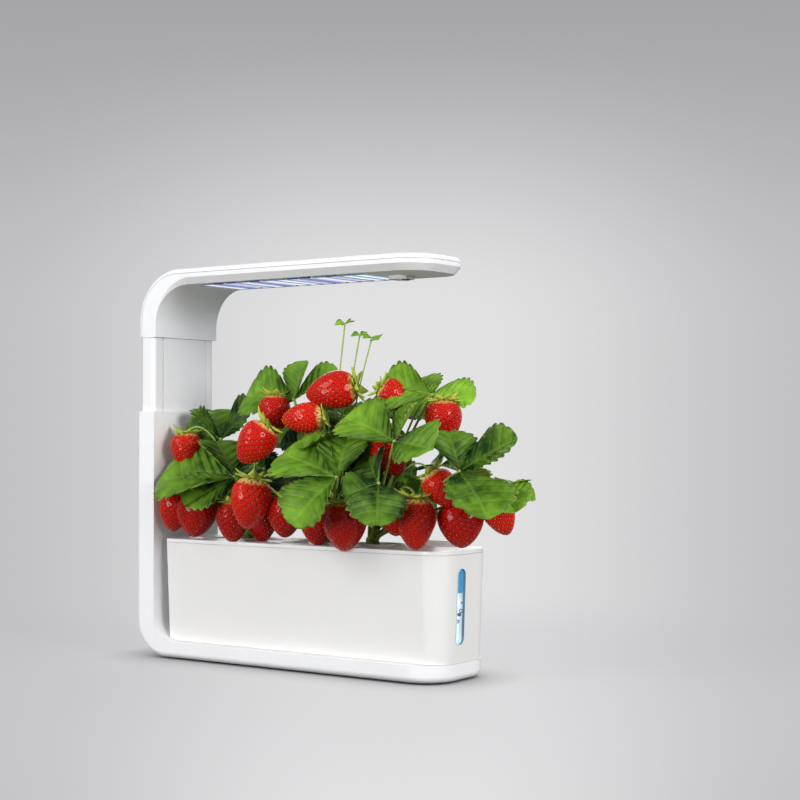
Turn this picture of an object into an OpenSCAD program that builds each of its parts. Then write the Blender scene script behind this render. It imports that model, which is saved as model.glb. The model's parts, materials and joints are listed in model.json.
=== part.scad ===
// Countertop hydroponic garden: a C-shaped stand with a telescoping grow light,
// a pull-out water tank and a lift-out planting deck with strawberry plants.
// Millimetres. Origin: under the middle foot, on the table. X runs along the garden,
// from the post at -X to the free end at +X, Y runs front (-Y) to back, Z is up.

/* [Stand] */
// Length of the stand, from the outside of the post to the free end
base_len = 375; // [350:1:440]
// Front-to-back depth of the stand and the post
body_depth = 100; // [98:1:120]
// Height of the rubber feet below the stand
foot_h = 1.5; // [1:0.1:3]
// Thickness of the flat base, feet not counted
slab_t = 16.5; // [15:0.5:24]
// Thickness of the post
post_t = 25; // [25:0.5:32]
// Height of the post's top edge above the table
post_top = 216; // [205:1:235]
// Height of the guide collar on the post
collar_h = 38; // [30:1:45]
// Radius of the bend outside, between base and post
bend_outer_r = 38; // [34:1:50]
// Radius of the bend inside
bend_inner_r = 25; // [18:1:32]
// Radius of the base's free corners, seen from above
base_end_r = 34; // [24:1:44]
// Rounding of the stand's outer edges
edge_r = 6.5; // [4:0.5:7.5]
// Wall of the moulded shells
shell_wall = 2.4; // [1.8:0.1:2.6]

/* [Lamp] */
// Height of the lamp's top above the table
lamp_top = 400; // [390:1:430]
// Thickness of the lamp head
lamp_t = 16; // [15:0.5:20]
// Reach of the lamp, from the outside of its arm to the tip
lamp_len = 354; // [335:1:400]
// Front-to-back depth of the lamp and its arm
lamp_depth = 95; // [94.5:0.5:98]
// How far the arm comes down below the lamp's top
skirt_drop = 69; // [66:1:75]
// Thickness of the arm where it comes down over the mast
arm_t = 24; // [23.4:0.2:24.6]
// Radius of the lamp's bend outside
arm_outer_r = 52; // [44:1:58]
// Radius of the lamp's bend inside
arm_inner_r = 40; // [32:1:46]
// Radius of the lamp head's free corners, seen from above
lamp_end_r = 34; // [26:1:42]
// Rounding of the lamp's top edge
lamp_edge_r = 4.8; // [3:0.2:5]
// Height of the top cover at its edge, down to the seam
cover_h = 5.2; // [5.2:0.1:6]
// Width of the seam between the lamp's two shells
seam_gap = 0.4; // [0.2:0.1:0.8]
// Height of the slanted lower edge of the lamp
bevel_h = 6.6; // [4:0.2:7]
// How far the slanted lower edge leans in
bevel_in = 6; // [2:0.2:6]

/* [Grow light panel] */
// Length of the light panel
panel_len = 208; // [180:1:220]
// Depth of the light panel
panel_depth = 70; // [60:1:71]
// Distance from the lamp's tip to the panel
panel_from_tip = 75; // [70:1:90]
// Number of diffuser bars
bar_count = 13; // [8:1:13]
// Width of one diffuser bar
bar_w = 12.5; // [8:0.5:13]
// Height of a diffuser bar
bar_h = 3; // [2:0.5:3.5]
// Thickness of the aluminium light board
board_t = 1.6; // [1:0.2:2]

/* [Mast] */
// Gap between the post's outline and the mast's, on every side
mast_step = 3.5; // [3.3:0.1:3.8]
// Wall of the mast tube
mast_wall = 2; // [1.5:0.1:2.5]
// Height of the mast's lower end above the table
mast_bottom = 112; // [108:1:120]
// Corner radius of the mast
mast_r = 4; // [3:0.5:4.5]
// Depth of the strip between the mast's two grooves
strip_w = 64; // [50:1:70]
// Width of each groove beside the strip
groove_w = 2.6; // [1.5:0.1:3.5]
// Thickness of the mast's cover strip
strip_t = 1.6; // [1:0.2:2]
// Gap between sliding parts
slide_gap = 0.3; // [0.25:0.05:0.4]
// How far the lamp can be raised
lamp_up = 60; // [40:1:65]
// How far the lamp can be lowered
lamp_down = 28; // [10:1:30]

/* [Tank] */
// Length of the tank at its rim
tank_len = 344; // [335:1:360]
// Depth of the tank at its rim
tank_depth = 87; // [84:0.5:88]
// Height of the tank's rim above the table
tank_rim = 119; // [116:1:125]
// Distance from the post to the tank at the rim
tank_from_post = 9; // [8:0.5:14]
// How much narrower the tank is at its foot, on every side
tank_taper = 3.7; // [2:0.1:5]
// Corner radius of the rim at the post end
tank_post_r = 6; // [6:0.5:8]
// Corner radius of the rim at the free end
tank_end_r = 25; // [18:1:30]
// Wall of the tank
tank_wall = 2.4; // [2:0.1:3]
// Floor of the tank
tank_floor = 3; // [2.6:0.1:4]

/* [Level window] */
// Width of the window in the tank's free end
window_w = 15; // [12:0.5:15]
// Height of the window
window_h = 73; // [65:1:74]
// Height of the window's lower end above the table
window_bottom = 34; // [32:1:36]
// Distance of the window from the tank's middle line, towards the front
window_off = 11; // [9:0.5:11]
// Width of the window's seal
seal_w = 1; // [0.8:0.1:1.4]
// Height of the float
float_h = 23; // [18:1:26]

/* [Planting deck] */
// Thickness of the deck plate
deck_t = 3.5; // [3:0.5:5]
// Depth of the deck's rim inside the tank
deck_skirt = 8; // [5:0.5:9]
// Wall of the deck's rim
deck_wall = 1.8; // [1.4:0.1:2.2]
// Number of planting holes
hole_count = 5; // [5:1:5]
// Distance between two planting holes
hole_pitch = 52; // [49:0.5:54]
// Place of the middle planting hole along X
hole_mid = -24; // [-26:1:-22]
// Radius of a planting hole
hole_r = 19; // [17:0.5:20]
// Depth of a net pot below the deck
pot_h = 52; // [40:1:60]
// Wall of a net pot
pot_wall = 1.4; // [1:0.1:1.8]
// Width of the flange round a net pot or a hole cap
flange_w = 3; // [2:0.5:4]
// Slots round a net pot
pot_slots = 12; // [8:1:14]

/* [Pump] */
// Length of the pump
pump_len = 42; // [36:1:48]
// Depth of the pump
pump_depth = 34; // [30:1:36]
// Height of the pump
pump_h = 28; // [26:1:32]
// Radius of the impeller
impeller_r = 10; // [8:0.5:11]
// Vanes of the impeller
vane_count = 6; // [4:1:8]

/* [Hidden] */
$fn = 64;
eps = 0.01;

white = "white";
offwhite = "whitesmoke";

// Stand
x_out = -base_len/2;
x_in = x_out + post_t;
x_end = base_len/2;
half_y = body_depth/2;
slab_top = foot_h + slab_t;
bend_x = max(x_out + bend_outer_r, x_in + bend_inner_r);
bend_z = max(foot_h + bend_outer_r, slab_top + bend_inner_r);
collar_top = post_top + collar_h;
collar_seam = 0.6;
pad_t = 1.2;
pad_w = 12;
pad_h = 24;
pad_y = 24;
mast_x0 = x_out + mast_step;
mast_x1 = x_in - mast_step;
mast_half = half_y - mast_step;
channel_gap = 1.1;
channel_floor = mast_bottom - lamp_down - 10;
stop_h = 10;
bolt_r = 1.2;
bolt_len = 5;
stop_top = post_top - lamp_up - slide_gap;
cavity_x0 = bend_x - 6;
cavity_x1 = x_end - base_end_r + 6;
cavity_half = half_y - 12;
cavity_r = 8;
cavity_top = slab_top - shell_wall;
cover_t = 2;
cover_lip = 4;
foot_r = 7;
foot_sunk = 1;
foot_x = cavity_x1 - 16;
foot_y = cavity_half - 14;
foot_x0 = cavity_x0 + 16;
screw_r = 1.4;
screw_head_r = 2.9;
screw_head_h = 1.2;
screw_len = 8;
boss_r = 4;
screw_places = [for (x = [cavity_x0 + 6, (cavity_x0 + cavity_x1)/2, cavity_x1 - 6], s = [-1, 1]) [x, s*(cavity_half - 6)]];
duct_in = 26;
duct_out = 33;
duct_half = 12;
jack_z = bend_z + 13;
jack_r = 6;
jack_len = 14;
jack_bore_r = 2.8;
jack_bore_len = 10;
jack_pin_r = 1;
board_x0 = cavity_x0 + 12;
board_len = 92;
board_half = 28;
board_z = foot_h + cover_t + 4;
contact_r = 3.5;
contact_t = 1.2;
contact_x = x_in + 60;
contact_gap = 12;

// Lamp
lamp_x0 = x_out + (post_t - arm_t)/2;
lamp_xi = lamp_x0 + arm_t;
lamp_tip = lamp_x0 + lamp_len;
lamp_half = lamp_depth/2;
lamp_under = lamp_top - lamp_t;
seam_z = lamp_top - cover_h;
arm_x = max(lamp_x0 + arm_outer_r, lamp_xi + arm_inner_r);
arm_z = min(lamp_top - arm_outer_r, lamp_under - arm_inner_r);
skirt_bottom = lamp_top - skirt_drop;
mast_top = skirt_bottom + 14;
lamp_wall = 2.2;
head_x1 = lamp_tip - 9;
head_half = lamp_half - bevel_in - lamp_wall;
panel_x1 = lamp_tip - panel_from_tip;
panel_x0 = panel_x1 - panel_len;
head_x0 = min(arm_x + 2, panel_x0 - 5);
board_edge = 1.2;
bar_pitch = panel_len/bar_count;
bar_end = 2;
bar_round = 1.5;
bar_kind = [0, 1, 2, 0, 1, 0, 0, 2, 1, 0, 2, 0, 0];
board_screw_r = 1;
board_screw_len = 3.2;
lip_t = 1.4;
board_screw_x = [panel_x0 + 6, (panel_x0 + panel_x1)/2, panel_x1 - 6];
driver_t = 3.6;
pod_x0 = panel_x1 + 4;
pod_len = 22;
pod_w = 20;
pod_y = 10;
pod_h = 3.4;
pod_r = 5;
button_r = 4;
button_x = pod_x0 + 15;
button_y = pod_y + 2;
button_travel = 0.8;
button_gap = 0.3;
button_proud = 0.8;
button_flange_z = 1.6;
lens_r = 1.8;
lens_x = pod_x0 + 5;
lens_y = pod_y - 4;

// Tank
tank_x0 = x_in + tank_from_post;
tank_x1 = tank_x0 + tank_len;
tank_half = tank_depth/2;
tank_z0 = slab_top + slide_gap;
tank_in = tank_z0 + tank_floor;
window_y = -window_off;
window_z = window_bottom + window_h/2;
window_x = tank_x1 - tank_taper*(tank_rim - window_z)/(tank_rim - tank_z0);
window_lean = atan(tank_taper/(tank_rim - tank_z0));
window_t = tank_wall;
glass_w = window_w - 2*seal_w;
glass_h = window_h - 2*seal_w;
guide_t = 1.6;
float_t = 3.4;
guide_w = window_w + 2;
guide_h = window_h + 2;
float_w = guide_w - 2*guide_t - 2*slide_gap;
seal_proud = 0.3;
guide_deep = float_t + 2*slide_gap + guide_t;
pump_x0 = tank_x0 + 16;
pump_z0 = tank_in + 3;
cup_r = 5;
filter_t = 3;
outlet_r = 4;
outlet_bore = 2.6;
outlet_up = 14;
chamber_l = 14;
outlet_x = pump_x0 + pump_len - chamber_l/2;
shaft_r = 1.5;
shaft_seat = 8;
vane_l = 10;

// Deck
deck_z0 = tank_rim + slide_gap;
deck_top = deck_z0 + deck_t;
hole_x = [for (i = [0:hole_count - 1]) hole_mid + (i - (hole_count - 1)/2)*hole_pitch];
pot_x = [hole_x[1], hole_x[3], hole_x[4]];
cap_x = [hole_x[0], hole_x[2]];
pot_top_r = hole_r - slide_gap;
pot_foot_r = pot_top_r - 5;
flange_t = 1.6;
sponge_gap = 0.3;
slot_w = 3;
skirt_in = tank_wall + slide_gap + deck_skirt*tank_taper/(tank_rim - tank_z0);
ear_gap = 0.3;
sponge_top = deck_top - 2;
flap_x = hole_x[4] + hole_r + 40;
flap_y = 18;
flap_len = 30;
flap_w = 24;
flap_t = 2;
flap_gap = 0.4;
pin_r = 1;
pin_gap = 0.05;
knuckle_r = 2.2;
flap_pin_y = flap_y + flap_w/2 + knuckle_r + flap_gap;
flap_pin_z = deck_top + knuckle_r + 0.3;
ear_t = 3;
port_r = 3;

// A rectangle in plan with the corners of its two ends rounded by r0 and r1
module plan_shape(x0, x1, half, r0, r1) {
    translate([x0 + r0, -half]) square([x1 - r1 - x0 - r0, 2*half]);
    translate([x0, -half + r0]) square([r0, 2*(half - r0)]);
    translate([x1 - r1, -half + r1]) square([r1, 2*(half - r1)]);
    for (s = [-1, 1]) {
        translate([x0 + r0, s*(half - r0)]) circle(r0);
        translate([x1 - r1, s*(half - r1)]) circle(r1);
    }
}

// A strip in plan from x = 0 to x1 with only its corners at x = 0 rounded
module one_side_plan(x1, half, round_r) {
    translate([round_r, -half]) square([x1 - round_r, 2*half]);
    translate([0, -half + round_r]) square([round_r, 2*(half - round_r)]);
    for (s = [-1, 1]) translate([round_r, s*(half - round_r)]) circle(round_r);
}

// An upright capsule outline, w wide and h tall
module capsule(w, h) {
    translate([-w/2, -(h - w)/2]) square([w, h - w]);
    for (s = [-1, 1]) translate([0, s*(h - w)/2]) circle(w/2);
}

// A bar along X with a straight cut at x0 and a round-cornered free end at x1.
// Its child is half the bar's section, from the middle line out to $reach.
module round_end_bar(x0, x1, half, end_r) {
    for (s = [0, 1]) mirror([0, s, 0])
        translate([x0, 0, 0]) rotate([90, 0, 90]) linear_extrude(x1 - end_r - x0)
            let ($reach = half) children();
    translate([x1 - end_r, half - end_r, 0]) rotate([90, 0, 0]) linear_extrude(2*(half - end_r))
        let ($reach = end_r) children();
    for (s = [0, 1]) mirror([0, s, 0])
        translate([x1 - end_r, half - end_r, 0]) rotate_extrude(angle = 90)
            let ($reach = end_r) children();
}

// A quarter turn of a section about an axis along Y through (x, z), starting at angle a
module quarter_turn(x, z, a) {
    translate([x, 0, z]) rotate([90, 0, 0]) rotate([0, 0, a]) rotate_extrude(angle = 90) children();
}

// The lower left bend of a C with its outside corner at (0, 0). The upright arm is wide, the flat arm deep.
module bend_block(wide, deep, outer_r, inner_r, half, round_r) {
    bx = max(outer_r, wide + inner_r);
    bz = max(outer_r, deep + inner_r);
    difference() {
        union() {
            quarter_turn(outer_r, outer_r, 180)
                translate([outer_r, 0]) mirror([1, 0]) one_side_plan(outer_r, half, round_r);
            if (bz > outer_r) translate([0, 0, outer_r]) linear_extrude(bz - outer_r)
                one_side_plan(outer_r, half, round_r);
            if (bx > outer_r) translate([outer_r, 0, 0]) rotate([90, 0, 90]) linear_extrude(bx - outer_r)
                mirror([1, -1]) one_side_plan(bz, half, round_r);
        }
        translate([wide + inner_r, half + 1, deep + inner_r]) rotate([90, 0, 0])
            cylinder(r = inner_r, h = 2*half + 2);
        if (bz > deep + inner_r) translate([wide, -half - 1, deep + inner_r])
            cube([bx - wide + 1, 2*half + 2, bz - deep - inner_r + 1]);
        if (bx > wide + inner_r) translate([wide + inner_r, -half - 1, deep])
            cube([bx - wide - inner_r + 1, 2*half + 2, bz - deep + 1]);
    }
}

// ---- Stand ----

// Half section of the flat base: its lower edge is rounded, its upper edge crisp
module base_section() {
    translate([0, foot_h]) square([$reach - edge_r, slab_t]);
    translate([$reach - edge_r, foot_h + edge_r]) square([edge_r, slab_t - edge_r]);
    translate([$reach - edge_r, foot_h + edge_r]) circle(edge_r);
}

module post_plan() {
    translate([x_out, 0]) one_side_plan(post_t, half_y, edge_r);
}

// The mast's outline in plan, grown by gap
module mast_plan(gap) {
    plan_shape(mast_x0 - gap, mast_x1 + gap, mast_half + gap, mast_r + gap, mast_r + gap);
}

module cavity_plan(grow) {
    plan_shape(cavity_x0 - grow, cavity_x1 + grow, cavity_half + grow, cavity_r + grow, cavity_r + grow);
}

module at_screws() {
    for (p = screw_places) translate([p[0], p[1], 0]) children();
}

module base_frame() color(white) {
    difference() {
        union() {
            translate([x_out, 0, foot_h])
                bend_block(post_t, slab_t, bend_outer_r, bend_inner_r, half_y, edge_r);
            translate([0, 0, bend_z]) linear_extrude(post_top - bend_z) post_plan();
            round_end_bar(bend_x, x_end, half_y, base_end_r) base_section();
        }
        // Hollow of the base, and the step that its cover lies in
        difference() {
            translate([0, 0, foot_h - 1]) linear_extrude(cavity_top - foot_h + 1) cavity_plan(0);
            at_screws() translate([0, 0, foot_h + cover_t]) cylinder(r = boss_r, h = slab_t);
        }
        translate([0, 0, foot_h - 1]) linear_extrude(cover_t + 1) cavity_plan(cover_lip);
        at_screws() translate([0, 0, foot_h]) cylinder(r = screw_r, h = screw_len);
        // Channel for the mast
        translate([0, 0, channel_floor]) linear_extrude(post_top - channel_floor + 1) mast_plan(channel_gap);
        // Cable way from the channel round the bend into the base
        translate([x_out + bend_outer_r - duct_out, -duct_half, foot_h + bend_outer_r])
            cube([duct_out - duct_in, 2*duct_half, channel_floor - foot_h - bend_outer_r + 1]);
        quarter_turn(x_out + bend_outer_r, foot_h + bend_outer_r, 180)
            translate([duct_in, -duct_half]) square([duct_out - duct_in, 2*duct_half]);
        translate([x_out + bend_outer_r, -duct_half, foot_h + bend_outer_r - duct_out])
            cube([cavity_x0 - x_out - bend_outer_r + 1, 2*duct_half, duct_out - duct_in]);
        // Seats of the power jack and the dock contacts
        translate([x_out - 1, 0, jack_z]) rotate([0, 90, 0]) cylinder(r = jack_r, h = jack_len + 1);
        for (s = [-1, 1]) translate([contact_x, s*contact_gap/2, slab_top - contact_t])
            cylinder(r = contact_r, h = contact_t + 1);
    }
}

module bottom_cover() color("gainsboro") {
    difference() {
        union() {
            translate([0, 0, foot_h]) linear_extrude(cover_t) cavity_plan(cover_lip);
            for (x = [board_x0 + 6, board_x0 + board_len - 6], s = [-1, 1])
                translate([x, s*(board_half - 6), foot_h + cover_t]) cylinder(r = 3, h = board_z - foot_h - cover_t);
        }
        at_feet() translate([0, 0, foot_h - 1]) cylinder(r = foot_r, h = foot_sunk + 1);
        at_screws() translate([0, 0, foot_h - 1]) {
            cylinder(r = screw_head_r, h = screw_head_h + 1);
            cylinder(r = screw_r, h = cover_t + 2);
        }
    }
}

module at_feet() {
    for (x = [foot_x0, foot_x], s = [-1, 1]) translate([x, s*foot_y, 0]) children();
    children();
}

module rubber_feet() color("dimgray") {
    at_feet() cylinder(r = foot_r, h = foot_h + foot_sunk);
}

module cover_screws() color("silver") {
    at_screws() translate([0, 0, foot_h]) {
        cylinder(r = screw_head_r, h = screw_head_h);
        cylinder(r = screw_r, h = screw_len);
    }
}

module control_board() color("darkgreen") {
    translate([board_x0, -board_half, board_z]) cube([board_len, 2*board_half, board_t]);
    translate([board_x0 + 8, -18, board_z + board_t]) cube([20, 16, 5]);
    translate([board_x0 + 40, -10, board_z + board_t]) cube([12, 12, 2]);
    for (i = [0:2]) translate([board_x0 + 64 + 9*i, 14, board_z + board_t]) cylinder(r = 3, h = 4.5);
}

module power_jack() color("black") {
    translate([x_out, 0, jack_z]) rotate([0, 90, 0]) {
        difference() {
            cylinder(r = jack_r, h = jack_len);
            translate([0, 0, -1]) cylinder(r = jack_bore_r, h = jack_bore_len + 1);
        }
        translate([0, 0, jack_bore_len - 8]) cylinder(r = jack_pin_r, h = 8);
    }
}

// Pockets of the two pads on each broad wall of the collar, grown into the wall by deep
module pad_blocks() {
    for (x = [mast_x0 - slide_gap - pad_t, mast_x1 + slide_gap], s = [-1, 1])
        translate([x, s*pad_y - pad_w/2, post_top + (collar_h - pad_h)/2]) cube([pad_t, pad_w, pad_h]);
}

module guide_collar() color(white) {
    difference() {
        union() {
            translate([0, 0, post_top]) linear_extrude(collar_seam)
                translate([x_out + collar_seam, 0])
                    one_side_plan(post_t - 2*collar_seam, half_y - collar_seam, edge_r - collar_seam);
            translate([0, 0, post_top + collar_seam]) linear_extrude(collar_h - collar_seam) post_plan();
        }
        translate([0, 0, post_top - 1]) linear_extrude(collar_h + 2) mast_plan(slide_gap);
        pad_blocks();
    }
}

module collar_pads() color("lightgray") {
    pad_blocks();
}

module dock_contacts() color("gold") {
    for (s = [-1, 1]) translate([contact_x, s*contact_gap/2, slab_top - contact_t])
        cylinder(r = contact_r, h = contact_t);
}

// ---- Mast ----

module at_mast_bolts() {
    for (s = [-1, 1]) translate([(mast_x0 + mast_x1)/2, s*(mast_half + channel_gap - slide_gap), stop_top - stop_h/2])
        rotate([s*90, 0, 0]) children();
}

module mast_tube() color(offwhite) {
    difference() {
        translate([0, 0, mast_bottom]) linear_extrude(mast_top - mast_bottom) mast_plan(0);
        translate([0, 0, mast_bottom - 1]) linear_extrude(mast_top - mast_bottom + 2)
            plan_shape(mast_x0 + mast_wall, mast_x1 - mast_wall - strip_t, mast_half - mast_wall,
                mast_r - mast_wall, mast_r - mast_wall);
        translate([mast_x1 - strip_t, -strip_w/2 - groove_w, mast_bottom - 1])
            cube([strip_t + 1, strip_w + 2*groove_w, mast_top - mast_bottom + 2]);
        at_mast_bolts() translate([0, 0, -1]) cylinder(r = bolt_r, h = bolt_len + 1);
    }
}

module mast_strip() color(white) {
    translate([mast_x1 - strip_t, -strip_w/2, mast_bottom]) cube([strip_t, strip_w, mast_top - mast_bottom]);
}

module mast_stop() color("lightgray") {
    difference() {
        translate([0, 0, stop_top - stop_h]) linear_extrude(stop_h) mast_plan(channel_gap - slide_gap);
        translate([0, 0, stop_top - stop_h - 1]) linear_extrude(stop_h + 2) mast_plan(0);
        at_mast_bolts() translate([0, 0, -1]) cylinder(r = bolt_r, h = bolt_len + 1);
    }
}

module mast_bolts() color("silver") {
    at_mast_bolts() cylinder(r = bolt_r, h = bolt_len);
}

// ---- Lamp ----

// Half section of the lamp head: rounded on top, slanted in below
module lamp_section() {
    polygon([[0, lamp_under], [$reach - bevel_in, lamp_under], [$reach, lamp_under + bevel_h],
        [$reach, lamp_top - lamp_edge_r], [$reach - lamp_edge_r, lamp_top - lamp_edge_r],
        [$reach - lamp_edge_r, lamp_top], [0, lamp_top]]);
    translate([$reach - lamp_edge_r, lamp_top - lamp_edge_r]) circle(lamp_edge_r);
}

// The slanted edge carried round the inside of the bend, as the piece that it takes away. Its axis
// lies off the bend's, so that it runs out on the arm.
module arm_bevel() {
    slope = bevel_h/bevel_in;
    for (s = [0, 1]) mirror([0, s, 0]) {
        translate([lamp_xi + arm_inner_r + bevel_h + 0.3, lamp_half + 1, arm_z]) rotate([90, 0, 0])
            cylinder(r1 = arm_inner_r + bevel_h + slope, r2 = arm_inner_r, h = bevel_in + 1);
    }
}

// Cable way from the mast round the bend into the lamp head
module lamp_duct() {
    quarter_turn(lamp_xi + arm_inner_r, lamp_under - arm_inner_r, 90)
        translate([arm_inner_r + 6, -duct_half]) square([4, 2*duct_half]);
    translate([lamp_xi - 10, -duct_half, mast_top - 1])
        cube([4, 2*duct_half, lamp_under - arm_inner_r - mast_top + 1.5]);
    translate([arm_x - 0.5, -duct_half, lamp_under + 6]) cube([head_x0 - arm_x + 1, 2*duct_half, 4]);
}

module lamp_form() {
    difference() {
        union() {
            translate([lamp_x0, 0, lamp_top]) mirror([0, 0, 1])
                bend_block(arm_t, lamp_t, arm_outer_r, arm_inner_r, lamp_half, lamp_edge_r);
            translate([lamp_x0, 0, skirt_bottom]) linear_extrude(arm_z - skirt_bottom)
                one_side_plan(arm_t, lamp_half, lamp_edge_r);
        }
        intersection() {
            arm_bevel();
            translate([lamp_x0, -lamp_depth, arm_z]) cube([arm_x - lamp_x0, 2*lamp_depth, lamp_top - arm_z]);
        }
    }
    // The tiny step keeps the head's faces from meeting the bend's exactly
    translate([0, 0, eps/2]) round_end_bar(arm_x, lamp_tip, lamp_half, lamp_end_r) lamp_section();
}

// Everything outside the seam between the two shells, which follows the lamp's outer face, less gap
module outside_seam(gap) {
    depth = cover_h - gap;
    translate([lamp_x0 + arm_outer_r, -lamp_depth, lamp_top - depth])
        cube([lamp_len, 2*lamp_depth, depth + 1]);
    quarter_turn(lamp_x0 + arm_outer_r, lamp_top - arm_outer_r, 90)
        translate([arm_outer_r - depth, -lamp_depth]) square([depth + 1, 2*lamp_depth]);
    translate([lamp_x0 - 1, -lamp_depth, skirt_bottom - 1])
        cube([depth + 1, 2*lamp_depth, lamp_top - arm_outer_r - skirt_bottom + 1]);
}

// The hollow of the lamp head between heights z0 and z1
module head_hollow(z0, z1, grow) {
    translate([0, 0, z0]) linear_extrude(z1 - z0)
        plan_shape(head_x0 - grow, head_x1 + grow, head_half + grow, 4 + grow, lamp_end_r - 9 + grow);
}

module lamp_bottom_shell() color(white) {
    difference() {
        lamp_form();
        outside_seam(0);
        head_hollow(lamp_under + lamp_wall, lamp_top, 0);
        translate([0, 0, skirt_bottom - 1]) linear_extrude(mast_top - skirt_bottom + 1) mast_plan(0);
        translate([panel_x0, -panel_depth/2, lamp_under - 1]) cube([panel_len, panel_depth, lamp_wall + 2]);
        at_board_screws() cylinder(r = board_screw_r, h = board_screw_len);
        lamp_duct();
    }
}

module lamp_top_shell() color(white) {
    difference() {
        union() {
            intersection() {
                lamp_form();
                outside_seam(seam_gap);
            }
            // Lip that locates the cover inside the lower shell
            head_hollow(seam_z - 2, seam_z + seam_gap, 0);
        }
        head_hollow(seam_z - 3, lamp_top - lamp_wall, -lip_t);
        translate([0, 0, skirt_bottom - 1]) linear_extrude(mast_top - skirt_bottom + 1) mast_plan(0);
    }
}

module light_board() color("lightgray") {
    difference() {
        translate([panel_x0 - board_edge, -head_half, lamp_under + lamp_wall])
            cube([panel_len + 2*board_edge, 2*head_half, board_t]);
        at_board_screws() cylinder(r = board_screw_r, h = board_screw_len);
    }
}

module at_board_screws() {
    for (x = board_screw_x, s = [-1, 1])
        translate([x, s*(head_half - 2.2), lamp_under + lamp_wall + board_t - board_screw_len]) children();
}

module board_screws() color("silver") {
    at_board_screws() {
        cylinder(r = board_screw_r, h = board_screw_len);
        translate([0, 0, board_screw_len]) cylinder(r = 1.9, h = 1.2);
    }
}

// The diffuser bars of one kind, laid side by side across the panel
module bars(kind) {
    for (i = [0:bar_count - 1]) if (bar_kind[i] == kind)
        translate([panel_x0 + (i + 0.5)*bar_pitch, panel_depth/2 - bar_end, lamp_under + lamp_wall])
            rotate([90, 0, 0]) linear_extrude(panel_depth - 2*bar_end) {
                translate([-bar_w/2, -bar_h + bar_round]) square([bar_w, bar_h - bar_round]);
                translate([-bar_w/2 + bar_round, -bar_h]) square([bar_w - 2*bar_round, bar_round]);
                for (s = [-1, 1]) translate([s*(bar_w/2 - bar_round), -bar_h + bar_round]) circle(bar_round);
            }
}

module bars_white() color("azure") bars(0);

module bars_violet() color("mediumpurple") bars(1);

module bars_lavender() color("lavender") bars(2);

module lamp_driver() color("darkgreen") {
    translate([panel_x0 + 40, -18, lamp_under + lamp_wall + board_t]) cube([52, 36, 1.6]);
    for (i = [0:2]) translate([panel_x0 + 46 + 15*i, -10, lamp_under + lamp_wall + board_t + 1.6])
        cube([9, 14, driver_t]);
}

module sensor_pod() color("lightgray") {
    difference() {
        translate([pod_x0, pod_y, lamp_under - pod_h]) linear_extrude(pod_h)
            plan_shape(0, pod_len, pod_w/2, pod_r, pod_r);
        translate([button_x, button_y, lamp_under - pod_h - 1]) cylinder(r = button_r + button_gap, h = pod_h + 2);
        translate([button_x, button_y, lamp_under - button_flange_z - button_gap])
            cylinder(r = button_r + 1 + button_gap, h = button_flange_z + button_gap + 1);
        translate([lens_x, lens_y, lamp_under - pod_h - 1]) cylinder(r = lens_r, h = pod_h + 2);
    }
}

module sensor_lens() color("dimgray") {
    translate([lens_x, lens_y, lamp_under - pod_h - 0.3]) cylinder(r = lens_r, h = pod_h + 0.3);
}

module power_button() color("gray") {
    translate([button_x, button_y, lamp_under - pod_h - button_proud])
        cylinder(r = button_r, h = pod_h + button_proud - button_travel - 0.4);
    translate([button_x, button_y, lamp_under - button_flange_z])
        cylinder(r = button_r + 1, h = button_flange_z - button_travel - 0.4);
}

// ---- Tank ----

// The tank's outline in plan, drawn in by inset
module tank_plan(inset) {
    plan_shape(tank_x0 + inset, tank_x1 - inset, tank_half - inset,
        max(tank_post_r - inset, 1.2), tank_end_r - inset);
}

// A tapered block with the tank's form between heights z0 and z1, drawn in by inset
module tank_form(inset, z0, z1) {
    lean = tank_taper/(tank_rim - tank_z0);
    hull() for (z = [z0, z1 - eps]) translate([0, 0, z]) linear_extrude(eps)
        tank_plan(inset + lean*(tank_rim - z), $fn = 48);
}

// What lies below the curve of the stand's inner bend, lifted off it by gap
module below_bend(gap) {
    difference() {
        translate([x_in, -body_depth, 0]) cube([bend_inner_r, 2*body_depth, slab_top + bend_inner_r]);
        translate([x_in + bend_inner_r, body_depth + 1, slab_top + bend_inner_r]) rotate([90, 0, 0])
            cylinder(r = bend_inner_r - gap, h = 2*body_depth + 2);
    }
}

// Children drawn in the plane of the window: x along Y, y upwards, z out of the tank
module on_window() {
    translate([window_x, window_y, window_z]) rotate([0, window_lean, 0]) rotate([90, 0, 90]) children();
}

module water_tank() color("linen") {
    difference() {
        tank_form(0, tank_z0, tank_rim);
        difference() {
            tank_form(tank_wall, tank_in, tank_rim + 1);
            below_bend(slide_gap + tank_floor);
        }
        below_bend(slide_gap);
        on_window() translate([0, 0, -window_t - 1]) linear_extrude(window_t + 2) capsule(window_w, window_h);
        for (s = [-1, 1]) translate([contact_x, s*contact_gap/2, tank_z0 - 1])
            cylinder(r = contact_r, h = contact_t + 1);
    }
}

module level_window() color("lightcyan", 0.5) {
    on_window() translate([0, 0, -window_t]) linear_extrude(window_t) capsule(glass_w, glass_h);
}

module window_seal() color("gray") {
    on_window() translate([0, 0, -window_t]) linear_extrude(window_t + seal_proud) difference() {
        capsule(window_w, window_h);
        capsule(glass_w, glass_h);
    }
}

module float_guide() color(white) {
    on_window() translate([0, 0, -window_t - guide_deep]) difference() {
        translate([-guide_w/2, -guide_h/2, 0]) cube([guide_w, guide_h, guide_deep]);
        translate([-guide_w/2 + guide_t, -guide_h/2 + guide_t, guide_t])
            cube([guide_w - 2*guide_t, guide_h - 2*guide_t, guide_deep]);
        translate([-2, -guide_h/2 + 8, -1]) cube([4, guide_h - 16, guide_t + 2]);
    }
}

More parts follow.
